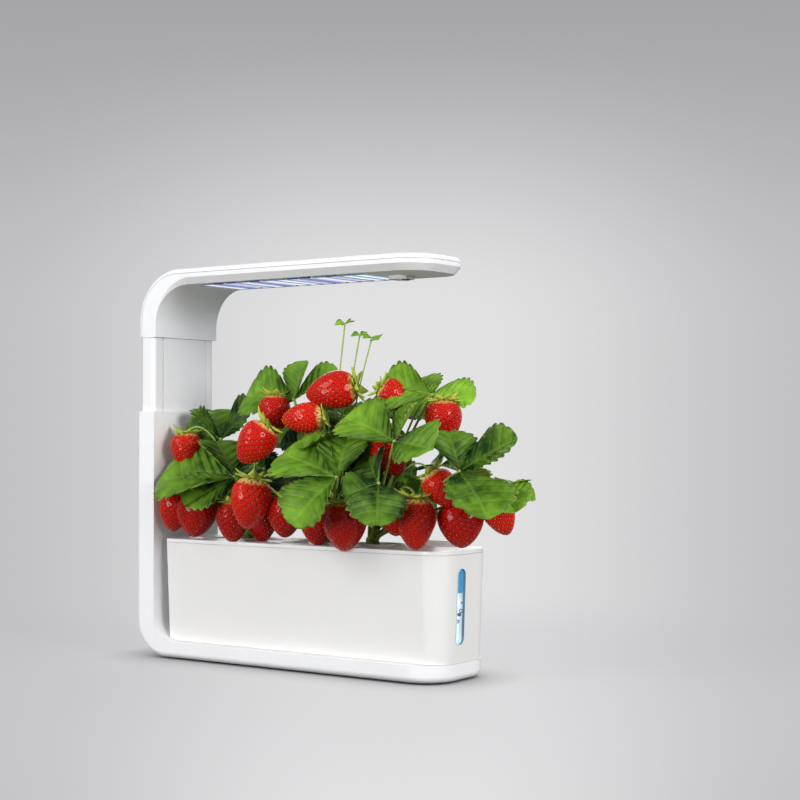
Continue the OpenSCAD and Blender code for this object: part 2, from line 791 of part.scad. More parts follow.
module level_float() color("deepskyblue") {
    on_window() translate([0, guide_h/2 - guide_t - slide_gap - float_w/2, -window_t - slide_gap - float_t])
        linear_extrude(float_t) {
            translate([-float_w/2, -(float_h - float_w/2)]) square([float_w, float_h - float_w/2]);
            circle(float_w/2);
        }
}

module tank_contacts() color("gold") {
    for (s = [-1, 1]) translate([contact_x, s*contact_gap/2, tank_z0]) cylinder(r = contact_r, h = contact_t);
}

// ---- Pump ----

module along_shaft(x) {
    translate([x, 0, pump_z0 + pump_h/2]) rotate([0, 90, 0]) children();
}

module pump_body() color("darkslategray") {
    difference() {
        translate([pump_x0, 0, pump_z0]) linear_extrude(pump_h) plan_shape(0, pump_len, pump_depth/2, 5, 2);
        along_shaft(pump_x0 + pump_len - chamber_l) cylinder(r = impeller_r + 1, h = chamber_l + 1);
        along_shaft(pump_x0 + pump_len - chamber_l - shaft_seat) cylinder(r = shaft_r + pin_gap, h = shaft_seat + 1);
        translate([outlet_x, 0, pump_z0 + pump_h/2]) cylinder(r = outlet_bore, h = pump_h);
    }
}

module pump_filter() color("black") {
    difference() {
        translate([pump_x0 + pump_len, -pump_depth/2 + 2, pump_z0 + 1])
            cube([filter_t, pump_depth - 4, pump_h - 2]);
        for (i = [-3:3]) translate([pump_x0 + pump_len - 1, i*3.6 - 0.9, pump_z0 + 5])
            cube([filter_t + 2, 1.8, pump_h - 10]);
    }
}

module pump_feet() color("dimgray") {
    for (x = [pump_x0 + 7, pump_x0 + pump_len - 7], s = [-1, 1]) translate([x, s*(pump_depth/2 - 7), tank_in])
        cylinder(r1 = cup_r, r2 = cup_r - 2, h = pump_z0 - tank_in);
}

module outlet_tube() color("gainsboro") {
    translate([outlet_x, 0, pump_z0 + pump_h]) difference() {
        cylinder(r = outlet_r, h = outlet_up);
        translate([0, 0, -1]) cylinder(r = outlet_bore, h = outlet_up + 2);
    }
}

module pump_impeller() color("orange") {
    along_shaft(pump_x0 + pump_len - chamber_l + 1.5) {
        cylinder(r = 3, h = vane_l);
        for (i = [0:vane_count - 1]) rotate([0, 0, i*360/vane_count])
            translate([0, -0.6, 0]) cube([impeller_r, 1.2, vane_l]);
    }
    along_shaft(pump_x0 + pump_len - chamber_l - shaft_seat + 0.5) cylinder(r = shaft_r, h = shaft_seat + 2);
}

// ---- Planting deck ----

module planting_deck() color(offwhite) {
    difference() {
        union() {
            translate([0, 0, deck_z0]) linear_extrude(deck_t) tank_plan(0);
            translate([0, 0, deck_z0 - deck_skirt]) linear_extrude(deck_skirt) difference() {
                tank_plan(skirt_in);
                tank_plan(skirt_in + deck_wall);
            }
            for (s = [-1, 1]) translate([flap_x + s*(flap_len/2 + ear_gap + ear_t/2) - ear_t/2, flap_pin_y, 0])
                flap_ear();
        }
        for (x = hole_x) translate([x, 0, deck_z0 - 1]) cylinder(r = hole_r, h = deck_t + 2);
        translate([flap_x, flap_y, deck_top - flap_t - flap_gap]) linear_extrude(flap_t + 1)
            plan_shape(-flap_len/2 - flap_gap, flap_len/2 + flap_gap, flap_w/2 + flap_gap, port_r, port_r);
        translate([flap_x, flap_y, deck_z0 - 1]) linear_extrude(deck_t + 1)
            plan_shape(-flap_len/2 + 3, flap_len/2 - 3, flap_w/2 - 3, port_r, port_r);
        translate([flap_x - flap_len, flap_pin_y, flap_pin_z]) rotate([0, 90, 0]) cylinder(r = pin_r, h = 2*flap_len);
    }
}

module flap_ear() {
    translate([0, 0, deck_top - 0.5]) {
        translate([0, -knuckle_r, 0]) cube([ear_t, 2*knuckle_r, flap_pin_z - deck_top + 0.5]);
        translate([0, 0, flap_pin_z - deck_top + 0.5]) rotate([0, 90, 0]) cylinder(r = knuckle_r, h = ear_t);
    }
}

module fill_flap() color(offwhite) {
    difference() {
        union() {
            translate([flap_x, flap_y, deck_top - flap_t]) linear_extrude(flap_t)
                plan_shape(-flap_len/2, flap_len/2, flap_w/2, port_r, port_r);
            translate([flap_x - flap_len/2 + port_r, flap_y + flap_w/2 - 4, deck_top - flap_t])
                cube([flap_len - 2*port_r, 4, flap_t + 0.3 + knuckle_r]);
            translate([flap_x - flap_len/2 + port_r, flap_y + flap_w/2 - 1, deck_top + 0.3])
                cube([flap_len - 2*port_r, flap_pin_y - flap_y - flap_w/2 + 1, knuckle_r]);
            translate([flap_x - flap_len/2, flap_pin_y, flap_pin_z]) rotate([0, 90, 0])
                cylinder(r = knuckle_r, h = flap_len);
        }
        translate([flap_x - flap_len, flap_pin_y, flap_pin_z]) rotate([0, 90, 0])
            cylinder(r = pin_r + pin_gap, h = 2*flap_len);
    }
}

module flap_pin() color("silver") {
    translate([flap_x - flap_len/2 - ear_gap - ear_t, flap_pin_y, flap_pin_z]) rotate([0, 90, 0])
        cylinder(r = pin_r, h = flap_len + 2*ear_gap + 2*ear_t);
}

module net_pot(x) color("dimgray") translate([x, 0, 0]) {
    low = deck_z0 - pot_h;
    difference() {
        rotate_extrude() polygon([[0, low], [pot_foot_r, low], [pot_top_r, deck_z0], [pot_top_r, deck_top],
            [hole_r + flange_w, deck_top], [hole_r + flange_w, deck_top + flange_t],
            [pot_top_r - pot_wall, deck_top + flange_t], [pot_top_r - pot_wall, deck_z0],
            [pot_foot_r - pot_wall, low + pot_wall], [0, low + pot_wall]]);
        for (i = [0:pot_slots - 1]) rotate([0, 0, (i + 0.5)*360/pot_slots])
            translate([pot_foot_r/2, -slot_w/2, low - 1]) cube([pot_top_r, slot_w, pot_h - 10]);
    }
}

module net_pot_1() net_pot(pot_x[0]);

module net_pot_2() net_pot(pot_x[1]);

module net_pot_3() net_pot(pot_x[2]);

module hole_caps() color(offwhite) {
    for (x = cap_x) translate([x, 0, 0]) difference() {
        union() {
            translate([0, 0, deck_top]) cylinder(r = hole_r + flange_w, h = flange_t);
            translate([0, 0, deck_z0 - 3]) cylinder(r = pot_top_r, h = deck_t + 3);
        }
        translate([0, 0, deck_z0 - 4]) cylinder(r = pot_top_r - pot_wall, h = deck_t + 3);
        for (s = [-1, 1]) translate([0, s*7, deck_top + flange_t - 1]) cylinder(r = 4, h = 2);
    }
}

module grow_sponges() color("saddlebrown") {
    for (x = pot_x) translate([x, 0, deck_z0 - pot_h + pot_wall])
        cylinder(r1 = pot_foot_r - pot_wall - sponge_gap, r2 = pot_top_r - pot_wall - sponge_gap,
            h = sponge_top - deck_z0 + pot_h - pot_wall);
}

// ---- Plants ----

// Leaves: plant, hub, then three leaflets as [azimuth, pitch, roll, length]
leaves = [
    [0, [-70, -31, 187], [[200, 2, -38, 85], [223, -27, -32, 58], [158, 48, -2, 55]]],
    [0, [-106, -10, 225], [[190, 15, -60, 48], [143, 42, 0, 52], [15, 45, 42, 54]]],
    [0, [-45, -15, 195], [[230, -30, 0, 50], [300, -20, 0, 45], [160, 10, -40, 40]]],
    [0, [-106, 40, 189], [[92, -10, 0, 55], [22, 8, 30, 46], [165, 10, -30, 46]]],
    [0, [-60, 50, 215], [[90, 5, 0, 55], [15, 20, 30, 48], [165, 20, -30, 48]]],
    [1, [-10, -10, 265], [[190, 8, -50, 60], [75, 75, 0, 42], [25, 35, 30, 54]]],
    [1, [81, -60, 190], [[185, 22, -35, 68], [240, -38, 0, 62], [100, 60, 0, 50]]],
    [1, [59, -10, 228], [[245, -10, 0, 55], [330, 10, 22, 50], [125, 35, 0, 45]]],
    [1, [-6, 40, 240], [[100, 10, 0, 55], [23, 15, 30, 48], [170, 15, -30, 48]]],
    [1, [35, 60, 188], [[80, -20, 0, 56], [10, 5, 35, 48], [145, 5, -30, 48]]],
    [2, [137, -45, 224], [[190, 28, -40, 60], [60, 60, 0, 44], [-17, -5, 45, 56]]],
    [2, [124, -52, 185], [[-57, -38, 0, 52], [211, -17, -55, 36], [145, 35, -60, 48]]],
    [2, [150, 0, 268], [[195, 20, -50, 60], [150, 30, -18, 50], [15, 0, 45, 42]]],
    [2, [206, -40, 197], [[145, 60, 0, 46], [20, 32, 32, 62], [-30, -30, 10, 66]]],
    [2, [237, -20, 182], [[-35, -30, 20, 38], [40, -10, 30, 34], [90, 15, 0, 34]]],
    [2, [80, 45, 246], [[85, 10, 0, 56], [10, 17, 32, 48], [155, 20, -30, 48]]],
    [2, [119, 60, 200], [[65, -15, 0, 54], [0, 5, 30, 46], [140, 5, -30, 46]]],
    [1, [50, -5, 339], [[200, 0, -30, 11], [60, 20, 0, 10], [-40, 0, 30, 11]]],
    [1, [63, 2, 328], [[190, 5, -30, 10], [72, 20, 0, 9], [-25, 0, 30, 9]]],
    [1, [85, -8, 324], [[202, 5, -30, 10], [60, 20, 0, 9], [-30, -5, 30, 14]]],
];

// Berries: plant, middle of the calyx, azimuth and angle that the tip leans by, length, width
berries = [
    [0, [-138, -27, 232], 0, 0, 36, 32],
    [0, [-142, -38, 172], 200, 5, 40, 31],
    [0, [-112, -35, 168], 200, 10, 41, 43],
    [0, [-64, -40, 163], 0, 0, 39, 35],
    [0, [-22, -58, 188], 200, 8, 48, 38],
    [0, [-44, -18, 159], 0, 0, 35, 31],
    [0, [-14, -46, 240], 215, 35, 43, 38],
    [0, [-28, -18, 270], 0, 0, 38, 33],
    [0, [-98, 50, 172], 100, 12, 40, 35],
    [0, [-50, 54, 177], 90, 14, 40, 35],
    [1, [-1, -35, 170], 0, 0, 39, 37],
    [1, [34, -28, 160], 0, 0, 36, 34],
    [1, [82, -46, 166], 200, 3, 44, 42],
    [1, [40, -26, 248], 205, 85, 40, 31],
    [1, [69, -12, 277], 205, 80, 48, 36],
    [1, [11, 55, 176], 95, 10, 40, 36],
    [1, [63, 58, 167], 90, 10, 38, 34],
    [2, [97, -12, 276], 35, 60, 34, 30],
    [2, [106, -23, 230], 35, 25, 40, 36],
    [2, [112, -30, 166], 20, 45, 40, 32],
    [2, [156, -37, 172], 0, 0, 46, 38],
    [2, [170, -12, 263], 0, 0, 40, 36],
    [2, [165, -27, 196], 25, 35, 38, 32],
    [2, [184, -7, 168], 0, 5, 41, 42],
    [2, [210, 7, 174], 20, 25, 38, 30],
    [2, [97, 55, 166], 80, 10, 38, 34],
];

// Half a leaflet's outline for a leaflet of length 1 along x
leaf_half = [[0, 0], [0.14, 0.12], [0.36, 0.33], [0.6, 0.42], [0.8, 0.37], [0.94, 0.2], [1, 0]];
// A berry's half section for a berry of length 1 and half width 1
berry_half = [[0, 0], [0.45, 0], [0.8, -0.06], [0.97, -0.2], [1, -0.34], [0.93, -0.5], [0.78, -0.68],
    [0.55, -0.84], [0.28, -0.96], [0, -1]];
leaf_t = 0.8;
leaf_fold = 18;
petiole_r = 1.45;
sprig_r = 0.8;
peduncle_r = 1;
calyx_t = 0.9;
crown_h = 10;
crown_spread = 6;
knob = 1.8;
stalk_steps = 5;

// A stalk's point at t, between a and b and bent towards c
function on_curve(a, c, b, t) = (1 - t)*(1 - t)*a + 2*t*(1 - t)*c + t*t*b;

// A stalk swept along that curve, six-sided and thinner towards its end
module stalk(a, c, b, r) {
    across = cross(c - a, b - a)/norm(cross(c - a, b - a));
    points = [for (i = [0:stalk_steps]) let (t = i/stalk_steps, along = (1 - t)*(c - a) + t*(b - c),
        side = cross(along, across)/norm(along), thick = (1.3 - 0.3*t)*r)
        for (j = [0:5]) on_curve(a, c, b, t) + thick*(cos(60*j)*across + sin(60*j)*side)];
    sides = [for (i = [0:stalk_steps - 1], j = [0:5])
        [6*i + j, 6*i + 6 + j, 6*i + 6 + (j + 1)%6, 6*i + (j + 1)%6]];
    polyhedron(points, concat([[0, 1, 2, 3, 4, 5], [for (j = [5:-1:0]) 6*stalk_steps + j]], sides));
}

module leaflet(l) {
    for (s = [0, 1]) mirror([0, s, 0]) rotate([leaf_fold, 0, 0]) hull()
        linear_extrude(leaf_t) polygon([for (p = leaf_half) l*p]);
}

// Where stalk number i leaves the crown of plant p, spread by 137 degrees as on a real one
function from_crown(p, i) = [pot_x[p] + crown_spread*cos(137*i), crown_spread*sin(137*i), sponge_top + crown_h - 3];

// A leaf with its stalk from the crown of its plant
module leaf(row, i) {
    crown = from_crown(row[0], i);
    hub = row[1];
    thick = hub[2] > 300 ? sprig_r : petiole_r;
    stalk(crown, [0.7*crown[0] + 0.3*hub[0], 0.3*hub[1], 0.3*crown[2] + 0.7*hub[2]], hub, thick);
    translate(hub) sphere(r = knob*thick, $fn = 8);
    for (b = row[2]) translate(hub) rotate([b[2], -b[1], b[0]]) leaflet(b[3]);
}

// A calyx with its stalk
module berry_stalk(row, i) {
    crown = from_crown(row[0], i + 0.5);
    top = row[1] + [0, 0, calyx_t/2];
    stalk(crown, [0.4*crown[0] + 0.6*top[0], 0.5*top[1], max(top[2] + 30, 0.4*crown[2] + 0.7*top[2])], top,
        peduncle_r);
    translate(row[1]) rotate([0, -row[3], row[2]]) linear_extrude(calyx_t)
        polygon([for (i = [0:11]) (i % 2 == 0 ? 0.42 : 0.17)*row[5]*[cos(30*i), sin(30*i)]]);
}

module plant(i) color("forestgreen") {
    translate([pot_x[i], 0, sponge_top]) cylinder(r1 = 11, r2 = crown_spread + 2.5, h = crown_h, $fn = 14);
    for (k = [0:len(leaves) - 1]) if (leaves[k][0] == i) leaf(leaves[k], k);
    for (k = [0:len(berries) - 1]) if (berries[k][0] == i) berry_stalk(berries[k], k);
}

module berry_set(i) color("crimson") {
    for (row = berries) if (row[0] == i) translate(row[1]) rotate([0, -row[3], row[2]])
        rotate_extrude($fn = 16) polygon([for (p = berry_half) [p[0]*row[5]/2, p[1]*row[4]]]);
}

module plant_1() plant(0);

module plant_2() plant(1);

module plant_3() plant(2);

module berries_1() berry_set(0);

module berries_2() berry_set(1);

module berries_3() berry_set(2);

base_frame();
bottom_cover();
rubber_feet();
cover_screws();
control_board();
power_jack();
guide_collar();
collar_pads();
dock_contacts();
mast_tube();
mast_strip();
mast_stop();
mast_bolts();
lamp_bottom_shell();
lamp_top_shell();
light_board();
bars_white();
bars_violet();
bars_lavender();
board_screws();
lamp_driver();
sensor_pod();
sensor_lens();
power_button();
water_tank();
level_window();
window_seal();
float_guide();
tank_contacts();
pump_body();
pump_filter();
pump_feet();
outlet_tube();
level_float();
pump_impeller();
planting_deck();
net_pot_1();
net_pot_2();
net_pot_3();
hole_caps();
grow_sponges();
plant_1();
plant_2();
plant_3();
berries_1();
berries_2();
berries_3();
fill_flap();
flap_pin();
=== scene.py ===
# Countertop hydroponic garden with three strawberry plants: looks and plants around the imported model
import json
import math

import bpy
import numpy as np
from mathutils import Matrix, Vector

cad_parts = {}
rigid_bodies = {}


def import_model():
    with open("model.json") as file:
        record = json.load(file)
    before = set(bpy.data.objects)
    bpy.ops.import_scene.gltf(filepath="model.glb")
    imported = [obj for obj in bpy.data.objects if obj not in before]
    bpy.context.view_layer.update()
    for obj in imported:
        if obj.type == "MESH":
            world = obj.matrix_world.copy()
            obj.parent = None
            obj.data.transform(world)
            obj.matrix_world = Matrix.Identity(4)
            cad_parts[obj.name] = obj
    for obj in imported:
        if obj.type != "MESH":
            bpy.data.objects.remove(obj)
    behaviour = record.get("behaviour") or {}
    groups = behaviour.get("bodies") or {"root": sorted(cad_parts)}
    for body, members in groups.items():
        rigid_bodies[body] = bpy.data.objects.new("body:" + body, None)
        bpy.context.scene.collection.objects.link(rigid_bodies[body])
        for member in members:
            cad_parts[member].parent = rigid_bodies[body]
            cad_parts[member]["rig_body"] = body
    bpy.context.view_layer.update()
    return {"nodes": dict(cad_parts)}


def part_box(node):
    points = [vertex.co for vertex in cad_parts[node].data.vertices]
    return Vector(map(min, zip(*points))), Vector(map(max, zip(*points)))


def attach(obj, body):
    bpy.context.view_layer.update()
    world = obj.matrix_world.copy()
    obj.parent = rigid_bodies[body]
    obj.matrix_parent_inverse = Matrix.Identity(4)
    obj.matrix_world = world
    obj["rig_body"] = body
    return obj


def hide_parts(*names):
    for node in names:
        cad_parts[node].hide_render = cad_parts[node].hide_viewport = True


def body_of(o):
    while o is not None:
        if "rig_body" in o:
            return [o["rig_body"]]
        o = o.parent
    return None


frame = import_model()
mm = 0.001


def report(text):
    print("garden:", text)


cameraPlace = {
    "at": (1.013, -1.296, 0.236),
    "turn": (91.0, 0.0, 34.8),
    "lens": 73.8,
}

# Lengths in metres. The wall is brightest where the sight line from viewFrom runs square to across,
# spread is how far it falls off to the sides and wallRise how far upwards.
room = {
    "floorSize": 18.0,
    "floorColour": "#c6c6c8",
    "floorInShade": "#525254",
    "floorGlow": 0.74,
    "floorFade": (0.32, 0.85),
    "floorInGloss": 0.3,
    # contact is how far the painted contact shadow under the stand reaches
    "contact": 0.05,
    "wallMiddle": "#e2e2e3",
    "wallSide": "#c2c2c4",
    "wallAbove": "#a6a6aa",
    "wallRise": (0.06, 0.26),
    "across": (0.821, 0.571, 0.0),
    "spread": (0.03, 0.25),
    "viewFrom": (1.013, -1.296, 0.236),
    "skyColour": "#f4f6fa",
    "skyStrength": 0.45,
    "lamps": {
        "key": {"at": (-0.8, -1.65, 1.3), "aim": (0.0, 0.0, 0.15), "size": 1.0, "power": 17.5},
        "fill": {"at": (1.9, -0.4, 0.75), "aim": (0.0, 0.0, 0.22), "size": 0.8, "power": 28.5},
        "low": {"at": (-0.2, -1.35, 0.14), "aim": (0.0, 0.0, 0.3), "size": 0.5, "power": 8.8},
        "back": {"at": (-0.9, 1.5, 0.9), "aim": (0.0, 0.0, 0.2), "size": 1.0, "power": 9.0},
        "top": {"at": (0.2, 0.3, 2.1), "aim": (0.0, 0.0, 0.2), "size": 1.4, "power": 5.5},
    },
}


def linear(hexText):
    # sRGB hex to linear light
    parts = np.array([int(hexText[i:i + 2], 16) for i in (1, 3, 5)]) / 255
    low = parts / 12.92
    high = ((parts + 0.055) / 1.055) ** 2.4
    return tuple(float(c) for c in np.where(parts <= 0.04045, low, high)) + (1.0,)


def feed(node, links):
    # Feeds each named socket from an output, or from a node's first output in use
    for key, source in links.items():
        if isinstance(source, bpy.types.Node):
            source = next(output for output in source.outputs if output.enabled)
        node.id_data.links.new(source, node.inputs[key])


def addNode(tree, kind, values=None, links=None):
    # One node with its settings, its fixed socket values and what feeds its sockets
    node = tree.nodes.new("ShaderNode" + kind)
    for key, value in (values or {}).items():
        if isinstance(key, str) and hasattr(node, key):
            setattr(node, key, value)
        else:
            node.inputs[key].default_value = value
    feed(node, links or {})
    return node


def newMaterial(name, surface):
    # A node material whose principled shader starts from the given socket values
    material = bpy.data.materials.new(name)
    material.use_nodes = True
    tree = material.node_tree
    tree.nodes.clear()
    shader = addNode(tree, "BsdfPrincipled", surface)
    addNode(tree, "OutputMaterial", {}, {"Surface": shader})
    return material, tree, shader


def makeCamera():
    lens = bpy.data.cameras.new("camera")
    lens.lens = cameraPlace["lens"]
    lens.sensor_width = 36.0
    lens.clip_end = 60.0
    camera = bpy.data.objects.new("camera", lens)
    camera.location = cameraPlace["at"]
    camera.rotation_euler = [math.radians(a) for a in cameraPlace["turn"]]
    bpy.context.collection.objects.link(camera)
    bpy.context.scene.camera = camera
    bpy.context.scene.view_settings.view_transform = "Standard"


def makeLamp(name, values):
    # A square soft box that faces its aim
    data = bpy.data.lights.new(name, "AREA")
    data.energy = values["power"]
    data.size = values["size"]
    lamp = bpy.data.objects.new(name, data)
    away = np.array(values["at"]) - np.array(values["aim"])
    flat = math.hypot(away[0], away[1])
    lamp.location = values["at"]
    lamp.rotation_euler = (math.atan2(flat, away[2]), 0.0, math.atan2(away[1], away[0]) + math.pi / 2)
    bpy.context.collection.objects.link(lamp)


def seenRay(tree, mirrored):
    # 1 for the rays that see the room directly or through glass, 0 for those that light it, and the
    # share mirrored for those that see it in a gloss
    ray = addNode(tree, "LightPath")
    direct = addNode(tree, "Math", {"operation": "MULTIPLY_ADD", 1: mirrored},
                     {0: ray.outputs["Is Glossy Ray"], 2: ray.outputs["Is Camera Ray"]})
    through = ray.outputs["Is Transmission Ray"]
    return addNode(tree, "Math", {"operation": "MAXIMUM"}, {0: direct, 1: through})


def backdropColour(tree, direction):
    # The wall is brightest in the middle and falls off to both sides
    across = addNode(tree, "VectorMath", {"operation": "DOT_PRODUCT", 1: room["across"]}, {0: direction})
    away = addNode(tree, "Math", {"operation": "ABSOLUTE"}, {0: across})
    near, far = room["spread"]
    side = addNode(tree, "MapRange", {"interpolation_type": "SMOOTHSTEP", "From Min": near, "From Max": far},
                   {"Value": away})
    return addNode(tree, "Mix", {"data_type": "RGBA", 6: linear(room["wallMiddle"]),
                                 7: linear(room["wallSide"])}, {0: side})


def makeFloor():
    # A pale matt floor that fades into the wall's colour. It throws less light back than it shows,
    # so that undersides and the hollows between the leaves stay dark, and it carries only faint shadows.
    paint, tree, shader = newMaterial("mattFloorPaint", {"Roughness": 0.75, "Specular IOR Level": 0.25})
    seen = seenRay(tree, room["floorInGloss"])
    tint = addNode(tree, "Mix", {"data_type": "RGBA", 6: linear(room["floorInShade"]),
                                 7: linear(room["floorColour"])}, {0: seen})
    feed(shader, {"Base Color": tint})
    at = addNode(tree, "TexCoord").outputs["Object"]
    away = addNode(tree, "VectorMath", {"operation": "LENGTH"}, {0: at})
    near, far = room["floorFade"]
    fade = addNode(tree, "MapRange", {"interpolation_type": "SMOOTHSTEP", "From Min": near, "From Max": far,
                                      "To Min": room["floorGlow"]}, {"Value": away})
    glowing = addNode(tree, "Math", {"operation": "MULTIPLY"}, {0: fade, 1: seen})
    # painted contact shadow: the floor's glow is darkened near and under the stand
    contactShade = addNode(tree, "AmbientOcclusion", {"Distance": room["contact"]})
    sight = addNode(tree, "VectorMath", {"operation": "SUBTRACT", 1: room["viewFrom"]}, {0: at})
    direction = addNode(tree, "VectorMath", {"operation": "NORMALIZE"}, {0: sight})
    glow = addNode(tree, "Emission", {}, {"Color": backdropColour(tree, direction),
                                          "Strength": contactShade.outputs["AO"]})
    blend = addNode(tree, "MixShader", {}, {0: glowing, 1: shader, 2: glow})
    feed(next(node for node in tree.nodes if node.type == "OUTPUT_MATERIAL"), {"Surface": blend})
    mesh = bpy.data.meshes.new("floor")
    half = room["floorSize"] / 2
    corners = [(-half, -half, 0), (half, -half, 0), (half, half, 0), (-half, half, 0)]
    mesh.from_pydata(corners, [], [(0, 1, 2, 3)])
    mesh.materials.append(paint)
    floor = bpy.data.objects.new("floor", mesh)
    bpy.context.collection.objects.link(floor)


def makeWall():
    # The wall is only seen: an even pale sky lights the garden from all round
    world = bpy.data.worlds.new("room")
    bpy.context.scene.world = world
    world.use_nodes = True
    tree = world.node_tree
    tree.nodes.clear()
    direction = addNode(tree, "TexCoord").outputs["Generated"]
    split = addNode(tree, "SeparateXYZ", {}, {"Vector": direction})
    low, high = room["wallRise"]
    rise = addNode(tree, "MapRange", {"interpolation_type": "SMOOTHSTEP", "From Min": low, "From Max": high},
                   {"Value": split.outputs["Z"]})
    shade = addNode(tree, "Mix", {"data_type": "RGBA", 7: linear(room["wallAbove"])},
                    {0: rise, 6: backdropColour(tree, direction)})
    wall = addNode(tree, "Background", {}, {"Color": shade})
    sky = addNode(tree, "Background", {"Color": linear(room["skyColour"]), "Strength": room["skyStrength"]})
    mix = addNode(tree, "MixShader", {}, {0: seenRay(tree, 1.0), 1: sky, 2: wall})
    addNode(tree, "OutputWorld", {}, {"Surface": mix})


makeCamera()
makeFloor()
makeWall()
for lampName, lampValues in room["lamps"].items():
    makeLamp(lampName, lampValues)
report("camera, floor, wall and lamps are set")


def mouldedPlastic(name, colour, roughness, grain, depth, mottle=0.02):
    # Injection moulded shell: an even colour, a fine spark-eroded grain and slow waves in its gloss.
    # The real grain is about 0.1 mm and too fine to show, so its spacing (grain) and height (depth),
    # both in millimetres, are drawn coarser.
    material, tree, shader = newMaterial(name, {"Roughness": roughness, "IOR": 1.5})
    at = addNode(tree, "TexCoord").outputs["Object"]
    cloud = addNode(tree, "TexNoise", {"Scale": 1 / (60 * mm), "Detail": 2.0}, {"Vector": at})
    base = linear(colour)
    shade = tuple(c * (1 - 2 * mottle) for c in base[:3]) + (1.0,)
    tint = addNode(tree, "Mix", {"data_type": "RGBA", 6: shade, 7: base}, {0: cloud})
    gloss = addNode(tree, "MapRange", {"To Min": roughness - 0.04, "To Max": roughness + 0.05},
                    {"Value": cloud})
    speck = addNode(tree, "TexNoise", {"Scale": 1 / (grain * mm), "Detail": 1.0}, {"Vector": at})
    bump = addNode(tree, "Bump", {"Strength": 0.35, "Distance": depth * mm}, {"Height": speck})
    feed(shader, {"Base Color": tint, "Roughness": gloss, "Normal": bump})
    return material


def plainMetal(name, colour, roughness):
    # Turned or stamped metal with a faint brushed streak along X
    surface = {"Base Color": linear(colour), "Metallic": 1.0, "Roughness": roughness}
    material, tree, shader = newMaterial(name, surface)
    at = addNode(tree, "TexCoord").outputs["Object"]
    stretch = addNode(tree, "Mapping", {"Scale": (40.0, 900.0, 900.0)}, {"Vector": at})
    streak = addNode(tree, "TexNoise", {"Scale": 1.0, "Detail": 2.0}, {"Vector": stretch})
    gloss = addNode(tree, "MapRange", {"To Min": roughness - 0.06, "To Max": roughness + 0.1},
                    {"Value": streak})
    feed(shader, {"Roughness": gloss})
    return material


# Satin ABS of the stand and lamp: clean white with a soft, wide highlight
satinAbs = mouldedPlastic("satinWhiteAbs", "#f3f3f4", 0.36, 0.9, 0.02)
# The mast's ABS is a touch greyer, so it reads as a piece of its own
mastAbs = mouldedPlastic("softGreyWhiteAbs", "#f1f1f2", 0.42, 0.9, 0.02)
# Polypropylene tank: slightly warm and more matt than the stand
tankPolypropylene = mouldedPlastic("warmWhitePolypropylene", "#e9e8e6", 0.45, 1.1, 0.02)
# Deck, caps and flap: the same family, a little glossier from wiping
deckAbs = mouldedPlastic("smoothWhiteAbs", "#ececed", 0.34, 0.9, 0.015)
# Thermoplastic rubber of feet, pads and stop: nearly without shine
darkRubber = mouldedPlastic("darkThermoplasticRubber", "#2c2d30", 0.8, 1.2, 0.06, 0.05)
greyRubber = mouldedPlastic("paleGreyRubber", "#b9babd", 0.7, 1.2, 0.05, 0.04)
# Solder mask: dark green on the control board, white and shinier on the lamp's boards
greenBoard = mouldedPlastic("greenSolderMask", "#1d5a3b", 0.35, 1.5, 0.03, 0.06)
whiteBoard = mouldedPlastic("whiteSolderMask", "#d9dbe2", 0.3, 1.4, 0.02)
# The pod under the lamp is a plain light grey moulding
podAbs = mouldedPlastic("lightGreyAbs", "#ececee", 0.42, 0.9, 0.02)
# Button, inlet and pump: dark mouldings that show the grain in their gloss
blackAbs = mouldedPlastic("blackAbs", "#1b1c1f", 0.4, 0.9, 0.02)
pumpAbs = mouldedPlastic("charcoalAbs", "#33363b", 0.5, 1.0, 0.03)
impellerNylon = mouldedPlastic("blueNylon", "#3d6fae", 0.45, 1.0, 0.02)
outletSilicone = mouldedPlastic("clearGreySilicone", "#cfd6da", 0.3, 1.2, 0.02)
# Net pots: thin white polypropylene, matt
potPolypropylene = mouldedPlastic("whitePolypropylene", "#e9e9ea", 0.5, 1.0, 0.03)
# Foams: open cells that show as coarse, matt relief
growFoam = mouldedPlastic("openGrowFoam", "#b9b6a4", 0.95, 2.2, 0.9, 0.2)
filterFoam = mouldedPlastic("darkFilterFoam", "#2b2f36", 0.95, 1.8, 0.7, 0.15)
# Screws and bolts are dull, contacts warm and shiny, the flap's pin brightest
plainSteel = plainMetal("zincPlatedSteel", "#c9cacc", 0.32)
goldContact = plainMetal("goldPlatedBrass", "#e8c36a", 0.25)
pinSteel = plainMetal("polishedStainlessSteel", "#d5d6d8", 0.2)


# Bars under the lamp, in metres: their spacing, width, the middle of the first one, how far from the
# lamp's middle their moulded ends begin, and the spacing of the light chips in them
bars = {
    "pitch": 0.016,
    "width": 0.0125,
    "ends": (0.0285, 0.0295),
    "chips": 0.012,
}
bars["first"] = min(v.co.x for v in frame["nodes"]["bars_white"].data.vertices) + bars["width"] / 2


